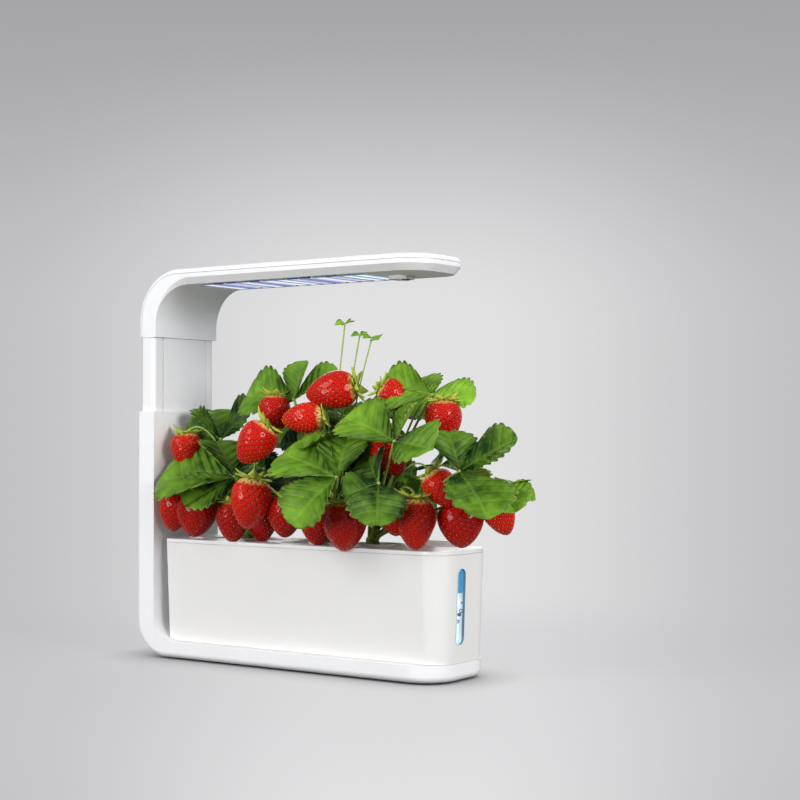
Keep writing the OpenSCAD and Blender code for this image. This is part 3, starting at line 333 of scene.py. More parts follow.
def diffuserBar(name, glow, strength, edge, core, end):
    # Opal polycarbonate bar that glows along its middle; its flanks and moulded ends are tinted and darker
    material, tree, shader = newMaterial(name, {"Roughness": 0.3, "Emission Strength": strength})
    at = addNode(tree, "TexCoord").outputs["Object"]
    split = addNode(tree, "SeparateXYZ", {}, {"Vector": at})
    away = addNode(tree, "Math", {"operation": "ABSOLUTE"}, {0: split.outputs["Y"]})
    ends = addNode(tree, "MapRange", {"From Min": bars["ends"][0], "From Max": bars["ends"][1]},
                   {"Value": away})
    # the chips show as brighter spots
    wave = addNode(tree, "Math", {"operation": "MULTIPLY", 1: 2 * math.pi / bars["chips"]},
                   {0: split.outputs["Y"]})
    cosine = addNode(tree, "Math", {"operation": "COSINE"}, {0: wave})
    spot = addNode(tree, "MapRange", {"From Min": -1.0, "To Min": 0.75, "To Max": 1.0}, {"Value": cosine})
    bright = linear(glow)
    dull = tuple(0.55 * c for c in bright[:3]) + (1.0,)
    middle = addNode(tree, "Mix", {"data_type": "RGBA", 6: dull, 7: bright}, {0: spot})
    # distance from the bar's own middle, as a share of the pitch
    shift = 0.5 - bars["first"] / bars["pitch"] + 20
    step = addNode(tree, "Math", {"operation": "MULTIPLY_ADD", 1: 1 / bars["pitch"], 2: shift},
                   {0: split.outputs["X"]})
    part = addNode(tree, "Math", {"operation": "FRACT"}, {0: step})
    offset = addNode(tree, "Math", {"operation": "SUBTRACT", 1: 0.5}, {0: part})
    gap = addNode(tree, "Math", {"operation": "ABSOLUTE"}, {0: offset})
    flank = addNode(tree, "MapRange", {"interpolation_type": "SMOOTHSTEP", "From Min": core[0],
                                       "From Max": core[1]}, {"Value": gap})
    lit = addNode(tree, "Mix", {"data_type": "RGBA", 7: linear(edge)}, {0: flank, 6: middle})
    paint = addNode(tree, "Mix", {"data_type": "RGBA", 7: linear(end)}, {0: ends, 6: lit})
    shine = addNode(tree, "Mix", {"data_type": "RGBA", 7: (0.0, 0.0, 0.0, 1.0)}, {0: ends, 6: lit})
    feed(shader, {"Base Color": paint, "Emission Color": shine})
    return material


whiteBar = diffuserBar("opalWhiteDiffuser", "#f4fbff", 0.8, "#6f8fb4", (0.16, 0.4), "#8aa5c4")
violetBar = diffuserBar("opalVioletDiffuser", "#6418c4", 0.7, "#c3cfea", (0.12, 0.34), "#263f8a")
lavenderBar = diffuserBar("opalLavenderDiffuser", "#e6dcfa", 0.65, "#7f97bf", (0.1, 0.38), "#3f5c9e")


# What is seen at the level window: its seal, the float, and the guide with its bubbles, whose spacing is in
# millimetres and whose rims run outwards from the middle of a bubble
window = {
    "seal": "#e3eaee",
    # painted shade: colour of the seal's walls inside the window's recess
    "sealWallShade": "#86a5b6",
    "foam": ("#0084bc", "#08a2d8"),
    "guide": ("#f2f9fc", "#d9ecf4"),
    # painted light: how strongly the guide glows
    "guidePaintedLight": 0.22,
    "bubbles": 8,
    "bubbleStops": ((0.1, "#f2f9fc"), (0.14, "#1c4a72"), (0.24, "#2d6c98"), (0.27, "#e4f2f8")),
}


def sealSilicone():
    # Milky silicone that hardly stands out from the tank. Its walls across the window are painted dark,
    # as shade in the recess, which draws a fine line beside it.
    material, tree, shader = newMaterial("milkySilicone", {"Roughness": 0.45})
    normal = addNode(tree, "NewGeometry").outputs["Normal"]
    split = addNode(tree, "SeparateXYZ", {}, {"Vector": normal})
    facing = addNode(tree, "Math", {"operation": "ABSOLUTE"}, {0: split.outputs["X"]})
    outer = addNode(tree, "MapRange", {"From Min": 0.3, "From Max": 0.7}, {"Value": facing})
    # painted shade: faces turned away from the window's outer face take the dark wall colour
    tint = addNode(tree, "Mix", {"data_type": "RGBA", 6: linear(window["sealWallShade"]),
                                 7: linear(window["seal"])}, {0: outer})
    feed(shader, {"Base Color": tint})
    return material


def floatBlue():
    # Closed-cell foam float: bright cyan in slow clouds, without shine, as it is seen through water
    material, tree, shader = newMaterial("cyanFloatFoam", {"Roughness": 0.6, "Specular IOR Level": 0.1})
    at = addNode(tree, "TexCoord").outputs["Object"]
    cloud = addNode(tree, "TexNoise", {"Scale": 1 / (9 * mm), "Detail": 2.0}, {"Vector": at})
    dark, light = window["foam"]
    tint = addNode(tree, "Mix", {"data_type": "RGBA", 6: linear(dark), 7: linear(light)}, {0: cloud})
    feed(shader, {"Base Color": tint})
    return material


def wetGuide():
    # The guide behind the window: pale and wet, with a few dark-rimmed bubbles, and a faint glow that is
    # painted light standing in for light through the water
    surface = {"Roughness": 0.25, "Emission Strength": window["guidePaintedLight"]}
    material, tree, shader = newMaterial("wetPaleGuide", surface)
    at = addNode(tree, "TexCoord").outputs["Object"]
    cells = addNode(tree, "TexVoronoi", {"Scale": 1 / (window["bubbles"] * mm), "Randomness": 1.0},
                    {"Vector": at})
    rim = addNode(tree, "ValToRGB", {}, {"Fac": cells})
    stops = rim.color_ramp.elements
    stops[0].color = linear(window["guide"][0])
    stops[1].color = linear(window["guide"][1])
    for position, colour in window["bubbleStops"]:
        stops.new(position).color = linear(colour)
    feed(shader, {"Base Color": rim, "Emission Color": rim})
    return material


milkySilicone = sealSilicone()
cyanFoam = floatBlue()
paleGuide = wetGuide()
# Clear acrylic window: little more than its reflections show, the float and guide are seen through it
clearAcrylic = newMaterial("clearAcrylic", {"Base Color": linear("#e6f6fc"), "Roughness": 0.08, "IOR": 1.49,
                                            "Alpha": 0.05})[0]
# Smoked polycarbonate lens of the sensor: nearly black with a sharp reflection
clearLens = newMaterial("smokedPolycarbonate", {"Base Color": linear("#20242c"), "Roughness": 0.12,
                                                "IOR": 1.58})[0]

finishes = {
    "base_frame": satinAbs, "bottom_cover": mastAbs, "rubber_feet": darkRubber, "cover_screws": plainSteel,
    "control_board": greenBoard, "power_jack": blackAbs, "guide_collar": satinAbs,
    "collar_pads": greyRubber, "dock_contacts": goldContact, "mast_tube": mastAbs, "mast_strip": mastAbs,
    "mast_stop": greyRubber, "mast_bolts": plainSteel, "lamp_bottom_shell": satinAbs,
    "lamp_top_shell": satinAbs, "light_board": whiteBoard, "bars_white": whiteBar,
    "bars_violet": violetBar, "bars_lavender": lavenderBar, "board_screws": plainSteel,
    "lamp_driver": whiteBoard, "sensor_pod": podAbs, "sensor_lens": clearLens, "power_button": blackAbs,
    "water_tank": tankPolypropylene, "level_window": clearAcrylic, "window_seal": milkySilicone,
    "float_guide": paleGuide, "tank_contacts": goldContact, "pump_body": pumpAbs,
    "pump_filter": filterFoam, "pump_feet": darkRubber, "outlet_tube": outletSilicone,
    "level_float": cyanFoam, "pump_impeller": impellerNylon, "planting_deck": deckAbs,
    "net_pot_1": potPolypropylene, "net_pot_2": potPolypropylene, "net_pot_3": potPolypropylene,
    "hole_caps": deckAbs, "grow_sponges": growFoam, "fill_flap": deckAbs, "flap_pin": pinSteel,
}

# Nodes that a smooth-shaded copy stands for, and the angle in degrees over which their edges stay sharp
smoothNodes = {
    "base_frame": 28, "guide_collar": 28, "mast_tube": 28, "lamp_bottom_shell": 14, "lamp_top_shell": 16,
    "water_tank": 28, "planting_deck": 30, "sensor_pod": 30, "power_button": 30, "level_window": 30,
    "float_guide": 30, "level_float": 30, "fill_flap": 30, "hole_caps": 30, "net_pot_1": 30,
    "net_pot_2": 30, "net_pot_3": 30, "outlet_tube": 35, "pump_body": 30, "power_jack": 30,
    "window_seal": 30,
}


def smoothCopy(node, material, angle):
    # The node's own triangles, merged and shaded smooth, with every edge over the angle kept sharp
    source = frame["nodes"][node]
    mesh = source.data.copy()
    mesh.name = node + "_skin"
    copy = bpy.data.objects.new(node + "_skin", mesh)
    bpy.context.collection.objects.link(copy)
    mesh.materials.clear()
    mesh.materials.append(material)
    bpy.ops.object.select_all(action="DESELECT")
    copy.select_set(True)
    bpy.context.view_layer.objects.active = copy
    bpy.ops.object.mode_set(mode="EDIT")
    bpy.ops.mesh.select_all(action="SELECT")
    bpy.ops.mesh.remove_doubles(threshold=0.002 * mm)
    bpy.ops.mesh.dissolve_limited(angle_limit=math.radians(0.4))
    bpy.ops.object.mode_set(mode="OBJECT")
    mesh.shade_smooth()
    mesh.set_sharp_from_angle(angle=math.radians(angle))
    weigh = copy.modifiers.new("weigh", "WEIGHTED_NORMAL")
    weigh.mode = "FACE_AREA_WITH_ANGLE"
    weigh.keep_sharp = True
    weigh.weight = 80
    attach(copy, body_of(source)[0])
    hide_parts(node)


for nodeName, finish in finishes.items():
    if nodeName in smoothNodes:
        smoothCopy(nodeName, finish, smoothNodes[nodeName])
    else:
        nodeMesh = frame["nodes"][nodeName].data
        nodeMesh.materials.clear()
        nodeMesh.materials.append(finish)
report("housing is finished")


def skin(rings, uv=None, tone=0.0, material=0):
    # A closed surface through rings[i, j]: rows run along i, each row closes on itself along j, and the
    # first and last rows are capped. Faces are turned outward by the sign of the enclosed volume.
    rows, count = rings.shape[:2]
    index = np.arange(rows * count).reshape(rows, count)
    a = index[:-1]
    b = index[1:]
    quads = np.stack([a, np.roll(a, -1, 1), np.roll(b, -1, 1), b], -1).reshape(-1, 4)
    points = rings.reshape(-1, 3)
    corners = points[quads] - points.mean(0)
    cross = np.cross(corners[:, 2] - corners[:, 0], corners[:, 3] - corners[:, 1])
    volume = np.einsum("ij,ij->", corners.mean(1), cross)
    first = index[0][::-1]
    last = index[-1]
    if volume < 0:
        quads = quads[:, ::-1]
        first = first[::-1]
        last = last[::-1]
    if uv is None:
        uv = np.stack(np.meshgrid(np.linspace(0, 1, rows), np.linspace(0, 1, count), indexing="ij"), -1)
    return {"points": points, "quads": quads, "caps": [first, last], "uv": uv.reshape(-1, 2),
            "tone": np.full(len(points), tone), "material": material}


def addPiece(name, skins, materials, node):
    # Joins closed skins into one smooth-shaded mesh with a UV map and a tone from 0 to 1, in place of a node
    offset = 0
    faces = []
    slots = []
    for part in skins:
        quads = (part["quads"] + offset).tolist()
        caps = [(cap + offset).tolist() for cap in part["caps"]]
        faces += quads + caps
        wanted = part["material"]
        slots.append(np.full(len(quads) + len(caps), wanted) if np.isscalar(wanted) else wanted)
        offset += len(part["points"])
    mesh = bpy.data.meshes.new(name)
    mesh.from_pydata(np.concatenate([part["points"] for part in skins]).tolist(), [], faces)
    for material in materials:
        mesh.materials.append(material)
    mesh.polygons.foreach_set("material_index", np.concatenate(slots).astype(np.int32))
    mesh.shade_smooth()
    loops = np.empty(len(mesh.loops), dtype=np.int32)
    mesh.loops.foreach_get("vertex_index", loops)
    uvs = np.concatenate([part["uv"] for part in skins])
    layer = mesh.uv_layers.new(name="UVMap")
    layer.data.foreach_set("uv", uvs[loops].astype(np.float32).ravel())
    tones = np.concatenate([part["tone"] for part in skins])
    tone = mesh.attributes.new("tone", "FLOAT", "POINT")
    tone.data.foreach_set("value", tones.astype(np.float32))
    mesh.update()
    piece = bpy.data.objects.new(name, mesh)
    bpy.context.collection.objects.link(piece)
    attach(piece, body_of(frame["nodes"][node])[0])
    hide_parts(node)


def turnAbout(x, y, z):
    # Rotation by x, then y, then z degrees about the fixed axes
    spins = [Matrix.Rotation(math.radians(angle), 3, axis) for angle, axis in ((x, "X"), (y, "Y"), (z, "Z"))]
    return np.array(spins[2] @ spins[1] @ spins[0])


# Lengths in millimetres, angles in degrees. The crown, from which all stalks grow, begins inside the pot's
# rim. leafWidth is for a leaflet of length 1, sprigs are the thin stalks that end higher than sprigsFrom,
# and the inner leaves are small ones that fill each plant's middle, in a box round its pot, painted dark
# as shade deep in the plant.
plant = {
    "seed": 11,
    "crownFoot": 124.0,
    "crownHeight": 7.0,
    "crownSpread": 4.5,
    "stalkTurn": 137,
    "petiole": 1.25,
    "sprig": 0.7,
    "sprigsFrom": 300,
    "peduncle": 0.95,
    "leafThickness": 0.45,
    "leafWidth": 0.52,
    "fold": 25.0,
    "teeth": 8,
    "sepals": 10,
    "inner": {"count": 6, "x": (-42, 46), "y": (2, 34), "z": (158, 232), "length": (32, 44)},
}
potBoxes = [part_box("net_pot_%d" % number) for number in (1, 2, 3)]
potX = [round((low[0] + high[0]) / 2 / mm) for low, high in potBoxes]

# Leaves: plant, hub, tone, then three leaflets as azimuth, pitch, roll and length. The tone says how
# yellow and bright a leaf is, from 0 for an old dark one to 1 for a new one.
leaves = [
    [0, [-70, -31, 187], 0.35, [[200, 2, -38, 85], [223, -27, -32, 58], [158, 48, -2, 55]]],
    [0, [-106, -10, 225], 0.3, [[190, 15, -60, 48], [143, 42, 0, 52], [15, 45, 42, 54]]],
    [0, [-45, -15, 195], 0.2, [[230, -30, 0, 50], [300, -20, 0, 45], [160, 10, -40, 40]]],
    [0, [-106, 40, 189], 0.3, [[92, -10, 0, 55], [22, 8, 30, 46], [165, 10, -30, 46]]],
    [0, [-60, 50, 215], 0.32, [[90, 5, 0, 55], [15, 20, 30, 48], [165, 20, -30, 48]]],
    [1, [-10, -10, 265], 0.55, [[190, 8, -50, 60], [75, 75, 0, 42], [25, 35, 30, 54]]],
    [1, [81, -60, 190], 0.4, [[185, 22, -35, 68], [240, -38, -30, 62], [100, 60, 0, 50]]],
    [1, [59, -10, 228], 0.3, [[245, -10, 0, 55], [330, 10, 22, 50], [125, 35, 0, 45]]],
    [1, [-6, 40, 240], 0.32, [[100, 10, 0, 55], [23, 15, 30, 48], [170, 15, -30, 48]]],
    [1, [35, 60, 188], 0.28, [[80, -20, 0, 56], [10, 5, 35, 48], [145, 5, -30, 48]]],
    [2, [137, -45, 224], 0.45, [[190, 28, -40, 60], [60, 60, 0, 44], [-17, -5, 45, 56]]],
    [2, [124, -52, 185], 0.22, [[-57, -38, 0, 52], [211, -17, -55, 36], [145, 35, -60, 48]]],
    [2, [150, 0, 268], 0.68, [[195, 8, -50, 58], [150, 20, -18, 48], [15, 0, 45, 42]]],
    [2, [206, -40, 197], 0.3, [[145, 60, 0, 46], [20, 32, 32, 62], [-30, -30, 10, 66]]],
    [2, [237, -20, 182], 0.55, [[-35, -30, 20, 38], [40, -10, 30, 34], [90, 15, 0, 34]]],
    [2, [80, 45, 246], 0.4, [[85, 10, 0, 56], [10, 17, 32, 48], [155, 20, -30, 48]]],
    [2, [119, 60, 200], 0.3, [[65, -15, 0, 54], [0, 5, 30, 46], [140, 5, -30, 46]]],
    [1, [50, -5, 339], 0.95, [[200, 0, -30, 11], [60, 20, 0, 10], [-40, 0, 30, 11]]],
    [1, [63, 2, 328], 0.95, [[190, 5, -30, 10], [72, 20, 0, 9], [-25, 0, 30, 9]]],
    [1, [85, -8, 324], 0.95, [[202, 5, -30, 10], [60, 20, 0, 9], [-30, -5, 30, 14]]],
]

# Berries: plant, middle of the calyx, azimuth and angle that the tip leans by, length, width, ripeness
berries = [
    [0, [-138, -27, 232], 0, 0, 36, 32, 0.6],
    [0, [-142, -38, 172], 200, 5, 40, 31, 0.7],
    [0, [-112, -35, 168], 200, 10, 41, 43, 0.75],
    [0, [-64, -40, 163], 0, 0, 39, 35, 0.85],
    [0, [-22, -58, 188], 200, 8, 48, 38, 0.45],
    [0, [-44, -18, 159], 0, 0, 35, 31, 0.9],
    [0, [-14, -46, 240], 215, 35, 43, 38, 0.5],
    [0, [-28, -18, 270], 0, 0, 38, 33, 0.7],
    [0, [-98, 50, 172], 100, 12, 40, 35, 0.8],
    [0, [-50, 54, 177], 90, 14, 40, 35, 0.7],
    [1, [-1, -35, 170], 0, 0, 39, 37, 0.85],
    [1, [34, -28, 160], 0, 0, 36, 34, 0.9],
    [1, [82, -46, 166], 200, 3, 44, 42, 0.7],
    [1, [40, -26, 248], 205, 85, 40, 31, 0.4],
    [1, [69, -12, 277], 205, 80, 48, 36, 0.6],
    [1, [11, 55, 176], 95, 10, 40, 36, 0.8],
    [1, [63, 58, 167], 90, 10, 38, 34, 0.7],
    [2, [97, -12, 276], 35, 60, 34, 30, 0.5],
    [2, [106, -23, 230], 35, 25, 40, 36, 0.6],
    [2, [112, -30, 166], 20, 45, 40, 32, 0.7],
    [2, [156, -37, 172], 0, 0, 46, 38, 0.45],
    [2, [170, -12, 263], 0, 0, 40, 36, 0.65],
    [2, [165, -27, 196], 25, 35, 38, 32, 0.35],
    [2, [184, -7, 168], 0, 5, 41, 42, 0.8],
    [2, [210, 7, 174], 20, 25, 38, 30, 0.5],
    [2, [97, 55, 166], 80, 10, 38, 34, 0.7],
]


def leafGreen(name, dark, light, rough, vein, relief):
    # Waxy leaf face: older ones deep green, new ones yellow green, with paler veins along the mapped rows.
    # A low tone also paints shade: the small leaves deep in the plant are darkened by it.
    surface = {"Roughness": rough, "IOR": 1.42, "Specular IOR Level": 0.2}
    material, tree, shader = newMaterial(name, surface)
    place = addNode(tree, "TexCoord")
    ageAndShade = addNode(tree, "Attribute", {"attribute_name": "tone"}).outputs["Fac"]
    at = place.outputs["Object"]
    cloud = addNode(tree, "TexNoise", {"Scale": 1 / (14 * mm), "Detail": 3.0}, {"Vector": at})
    shift = addNode(tree, "Math", {"operation": "MULTIPLY_ADD", 1: 0.9, 2: -0.5}, {0: cloud})
    agedAndShaded = addNode(tree, "Math", {"operation": "ADD"}, {0: shift, 1: ageAndShade})
    # the blade is darkest by its stalk and gets paler towards the tip
    split = addNode(tree, "SeparateXYZ", {}, {"Vector": place.outputs["UV"]})
    outward = addNode(tree, "MapRange", {"From Max": plant["teeth"], "To Min": -0.34, "To Max": 0.06},
                      {"Value": split.outputs["X"]})
    amount = addNode(tree, "Math", {"operation": "ADD", "use_clamp": True}, {0: agedAndShaded, 1: outward})
    green = addNode(tree, "Mix", {"data_type": "RGBA", 6: linear(dark), 7: linear(light)}, {0: amount})
    # side veins lie half way between the notches of the edge, the midrib in the middle of the map
    whole = addNode(tree, "Math", {"operation": "FRACT"}, {0: split.outputs["X"]})
    side = addNode(tree, "Math", {"operation": "SUBTRACT", 1: 0.5}, {0: whole})
    sideGap = addNode(tree, "Math", {"operation": "ABSOLUTE"}, {0: side})
    sideLine = addNode(tree, "MapRange", {"From Min": 0.03, "From Max": 0.14, "To Min": 0.75, "To Max": 0.0},
                       {"Value": sideGap})
    middle = addNode(tree, "Math", {"operation": "SUBTRACT", 1: 0.5}, {0: split.outputs["Y"]})
    middleGap = addNode(tree, "Math", {"operation": "ABSOLUTE"}, {0: middle})
    middleLine = addNode(tree, "MapRange", {"From Min": 0.012, "From Max": 0.04, "To Min": 1.0,
                                            "To Max": 0.0}, {"Value": middleGap})
    lines = addNode(tree, "Math", {"operation": "MAXIMUM"}, {0: sideLine, 1: middleLine})
    share = addNode(tree, "Math", {"operation": "MULTIPLY", 1: vein}, {0: lines})
    blade = addNode(tree, "Mix", {"data_type": "RGBA", 7: linear("#a9cf5a")}, {0: share, 6: green})
    # a thin paler line runs round the toothed edge
    rim = addNode(tree, "MapRange", {"From Min": 0.47, "From Max": 0.495, "To Max": 0.45},
                  {"Value": middleGap})
    edged = addNode(tree, "Mix", {"data_type": "RGBA", 7: linear("#b5cc6e")}, {0: rim, 6: blade})
    # veins are sunk into a finely crinkled face
    crinkle = addNode(tree, "TexNoise", {"Scale": 1 / (3 * mm), "Detail": 3.0}, {"Vector": at})
    height = addNode(tree, "Math", {"operation": "SUBTRACT"}, {0: crinkle, 1: lines})
    bump = addNode(tree, "Bump", {"Strength": 0.6, "Distance": relief * mm}, {"Height": height})
    feed(shader, {"Base Color": edged, "Normal": bump})
    return material


def plantStem(name, dark, light, rough):
    # Soft plant skin without veins: its tone and slow clouds mix a darker and a lighter colour
    material, tree, shader = newMaterial(name, {"Roughness": rough, "Specular IOR Level": 0.35})
    at = addNode(tree, "TexCoord").outputs["Object"]
    ageAndShade = addNode(tree, "Attribute", {"attribute_name": "tone"}).outputs["Fac"]
    cloud = addNode(tree, "TexNoise", {"Scale": 1 / (6 * mm), "Detail": 2.0}, {"Vector": at})
    shift = addNode(tree, "Math", {"operation": "MULTIPLY_ADD", 1: 0.6, 2: -0.3}, {0: cloud})
    amount = addNode(tree, "Math", {"operation": "ADD", "use_clamp": True}, {0: shift, 1: ageAndShade})
    tint = addNode(tree, "Mix", {"data_type": "RGBA", 6: linear(dark), 7: linear(light)}, {0: amount})
    feed(shader, {"Base Color": tint})
    return material


# Leaves are dark and waxy above and pale and matt below; stalks, sepals and crown go from green to yellow
leafTop = leafGreen("waxyLeafTop", "#0d3005", "#92c836", 0.4, 0.12, 0.55)
leafBack = leafGreen("mattLeafBack", "#6f9336", "#b3cb55", 0.6, 0.3, 0.3)
greenStem = plantStem("softGreenStalk", "#6f8a30", "#b0c964", 0.5)
sepalGreen = plantStem("yellowGreenSepal", "#86a82a", "#d8df5c", 0.5)
crownBrown = plantStem("fibrousCrown", "#445a22", "#7f9c44", 0.8)
plantSlots = {"top": 0, "back": 1, "stalk": 2, "sepal": 3, "crown": 4}


def stalkSkin(start, bend, end, radius, tone):
    # Tube along a quadratic curve from start to end, pulled towards bend, thinner towards its end and
    # with a slight swelling at both
    t = np.linspace(0, 1, 15)[:, None]
    line = (1 - t) ** 2 * start + 2 * t * (1 - t) * bend + t ** 2 * end
    along = (1 - t) * (bend - start) + t * (end - bend)
    along /= np.linalg.norm(along, axis=1, keepdims=True)
    across = np.cross(bend - start, end - start)
    across = across / np.linalg.norm(across)
    side = np.cross(along, across)
    turn = np.linspace(0, 2 * math.pi, 9)[:-1]
    run = t[:, 0]
    swelling = 0.1 * np.exp(-(run * 9) ** 2) + 0.2 * np.exp(-((1 - run) * 12) ** 2)
    wide = radius * (1.15 - 0.2 * run + swelling)
    rings = line[:, None] + wide[:, None, None] * (
        np.cos(turn)[None, :, None] * across + np.sin(turn)[None, :, None] * side[:, None])
    return skin(rings * mm, tone=tone, material=plantSlots["stalk"])


def knobSkin(centre, radius, tone):
    # Small ball where leaflets or sepals meet their stalk
    up = np.linspace(0.12, math.pi - 0.12, 7)
    turn = np.linspace(0, 2 * math.pi, 11)[:-1]
    rings = np.stack([np.outer(np.sin(up), np.cos(turn)), np.outer(np.sin(up), np.sin(turn)),
                      np.repeat(np.cos(up)[:, None], 10, 1)], -1)
    return skin((centre + radius * rings) * mm, tone=tone, material=plantSlots["stalk"])


def leafletSkin(hub, azimuth, pitch, roll, length, tone, chance):
    # Leaflet of length 1 before scaling. Side veins run from x = s^1.9 on the midrib to the edge at
    # x = s + 0.07 sin(pi s), y = leafWidth sin(pi s^1.5)^0.62. Rounded teeth lengthen them near the edge,
    # the blade is folded along the midrib, puffed between its veins and arched down along its length.
    small = length < 20
    teeth = 3 if small else plant["teeth"]
    s = np.linspace(0.012, 0.99, 28 if small else 64)[:, None]
    half = 3 if small else 7
    u = np.linspace(-1, 1, 2 * half + 1)
    u = np.concatenate([u, u[-2:0:-1]])[None, :]
    under = np.concatenate([np.zeros(2 * half + 1), np.ones(2 * half - 1)])[None, :]
    t = np.abs(u)
    midX = s ** 1.9
    edgeX = s + 0.07 * np.sin(math.pi * s)
    edgeY = plant["leafWidth"] * np.sin(math.pi * s ** 1.5) ** 0.62
    tooth = 1 + 0.19 * (np.abs(np.sin(math.pi * teeth * s)) ** 0.6 - 0.6) * t ** 5
    x = midX + (edgeX - midX) * t * tooth
    y = np.sign(u) * edgeY * t * tooth
    lean = math.tan(math.radians(plant["fold"]))
    crease = 0.0245
    z = lean * (np.sqrt(y ** 2 + crease ** 2) - crease) * (1 - 0.5 * t)
    puff = 0.02 * np.sin(math.pi * t * 0.85) * np.sin(math.pi * s) ** 0.5
    z = z + puff * np.cos(2 * math.pi * teeth * s)
    wave = chance.uniform(-0.06, 0.06)
    droop = chance.uniform(0.04, 0.16)
    z = z - droop * x ** 2.2 + wave * np.sin(5 * s + chance.uniform(0, 6)) * t ** 2
    curlSide = chance.choice([-1, 1])
    z = z + chance.uniform(0.0, 0.16) * np.clip(curlSide * u, 0, 1) ** 3 * np.sin(math.pi * s)
    thin = plant["leafThickness"] / length * (1 - 0.6 * t) * (0.6 if small else 1)
    z = z - under * thin * np.ones_like(s) * (t < 0.999)
    local = np.stack([x * np.ones_like(z), y * np.ones_like(z), z], -1) * length
    place = local @ turnAbout(roll, -pitch, azimuth).T + np.array(hub)
    uv = np.stack([s * np.ones_like(z) * teeth, (u * 0.5 + 0.5) * np.ones_like(z)], -1)
    ownTone = float(np.clip(tone + chance.uniform(-0.1, 0.1), 0, 1))
    part = skin(place * mm, uv=uv, tone=ownTone)
    back = np.tile(np.arange(u.shape[1]) >= 2 * half, place.shape[0] - 1)
    caps = [plantSlots["top"]] * 2
    part["material"] = np.concatenate([np.where(back, plantSlots["back"], plantSlots["top"]), caps])
    return part


def sepalSkins(centre, lean, azimuth, width, tone, chance):
    # Star of narrow pointed sepals that curl up from the berry: half width = 0.28 sin(pi t^0.8)^0.8 of
    # their length
    parts = []
    turn = turnAbout(0, -lean, azimuth)
    t = np.linspace(0.02, 0.985, 9)[:, None]
    u = np.array([-1, -0.5, 0, 0.5, 1, 0.5, 0, -0.5])[None, :]
    under = np.array([0, 0, 0, 0, 0, 1, 1, 1])[None, :]
    for k in range(plant["sepals"]):
        length = width * chance.uniform(0.4, 0.56)
        curl = chance.uniform(-0.15, 0.5)
        x = t * np.ones_like(u)
        y = u * 0.28 * np.sin(math.pi * t ** 0.8) ** 0.8
        z = 0.05 - 0.35 * t * (1 - t) + curl * t ** 2.5 + 0.35 * np.abs(y) - under * 0.035
        local = np.stack([x, y, z], -1) * length
        spin = turnAbout(0, 0, 360 / plant["sepals"] * k + chance.uniform(-9, 9))
        rings = local @ spin.T @ turn.T + np.array(centre)
        parts.append(skin(rings * mm, tone=tone, material=plantSlots["sepal"]))
    return parts


def fromCrown(p, i):
    # Where stalk i of plant p leaves the crown, one turn after another
    turn = math.radians(plant["stalkTurn"] * i)
    return np.array([potX[p] + plant["crownSpread"] * math.cos(turn), plant["crownSpread"] * math.sin(turn),
                     plant["crownFoot"] + plant["crownHeight"] - 3])


def crownSkin(p):
    # Short scaly stem, wider at its foot, with a lumpy outline
    h = np.linspace(0, 1, 9)[:, None]
    turn = np.linspace(0, 2 * math.pi, 25)[:-1][None, :]
    wide = 6.6 - 1.8 * h + 0.7 * np.sin(5 * turn + 3 * h) + 0.5 * np.sin(9 * turn)
    wide = wide * np.where(h > 0.95, 0.8, 1.0)
    rings = np.stack([potX[p] + wide * np.cos(turn), wide * np.sin(turn),
                      plant["crownFoot"] + plant["crownHeight"] * h * np.ones_like(turn)], -1)
    return skin(rings * mm, tone=0.2, material=plantSlots["crown"])


def leafSkins(p, chance):
    # The plant's own leaves, each on a bent stalk
    parts = []
    for k, (owner, hub, tone, blades) in enumerate(leaves):
        if owner != p:
            continue
        crown = fromCrown(p, k)
        top = np.array(hub, float)
        bend = np.array([0.55 * crown[0] + 0.45 * top[0], 0.45 * top[1], 0.4 * crown[2] + 0.6 * top[2]])
        radius = plant["sprig"] if top[2] > plant["sprigsFrom"] else plant["petiole"]
        parts.append(stalkSkin(crown, bend, top, radius, 0.6))
        parts.append(knobSkin(top, 1.5 * radius, 0.5))
        for azimuth, pitch, roll, length in blades:
            parts.append(leafletSkin(hub, azimuth, pitch, roll, length, tone, chance))
    return parts


def innerSkins(p, chance):
    # Small leaves deep in the plant, painted dark as shade by their low tone
    parts = []
    inner = plant["inner"]
    for k in range(inner["count"]):
        hub = np.array([chance.uniform(*inner[axis]) for axis in ("x", "y", "z")])
        hub[0] += potX[p]
        crown = fromCrown(p, k + 0.3)
        bend = np.array([crown[0], hub[1] * 0.3, 0.5 * (crown[2] + hub[2])])
        parts.append(stalkSkin(crown, bend, hub, 1.0, 0.5))
        length = chance.uniform(*inner["length"])
        for azimuth, pitch, roll in ((205, -5, -48), (28, 0, 48), (118, 50, 0)):
            turned = azimuth + chance.uniform(-22, 22)
            raised = pitch + chance.uniform(-20, 25)
            size = length * chance.uniform(0.85, 1.1)
            # painted shade: a low tone darkens these leaves
            tone = chance.uniform(0.0, 0.22)
            parts.append(leafletSkin(hub, turned, raised, roll, size, tone, chance))
    return parts


def calyxSkins(p, chance):
    # The berries' stalks, which rise before they hang down, and their sepals
    parts = []
    for k, (owner, centre, azimuth, lean, length, width, ripe) in enumerate(berries):
        if owner != p:
            continue
        crown = fromCrown(p, k + 0.5)
        top = np.array(centre, float) + [0, 0, 0.4]
        height = max(top[2] + 30, 0.4 * crown[2] + 0.7 * top[2])
        bend = np.array([0.4 * crown[0] + 0.6 * top[0], 0.5 * top[1], height])
        parts.append(stalkSkin(crown, bend, top, plant["peduncle"], 0.45))
        parts.append(knobSkin(top, 1.6, 0.4))
        parts += sepalSkins(centre, lean, azimuth, width, 0.5, chance)
    return parts


def growPlant(p):
    chance = np.random.default_rng(plant["seed"] + p)
    parts = [crownSkin(p)] + leafSkins(p, chance) + innerSkins(p, chance) + calyxSkins(p, chance)
    name = "plant_%d" % (p + 1)
    addPiece(name + "_grown", parts, [leafTop, leafBack, greenStem, sepalGreen, crownBrown], name)


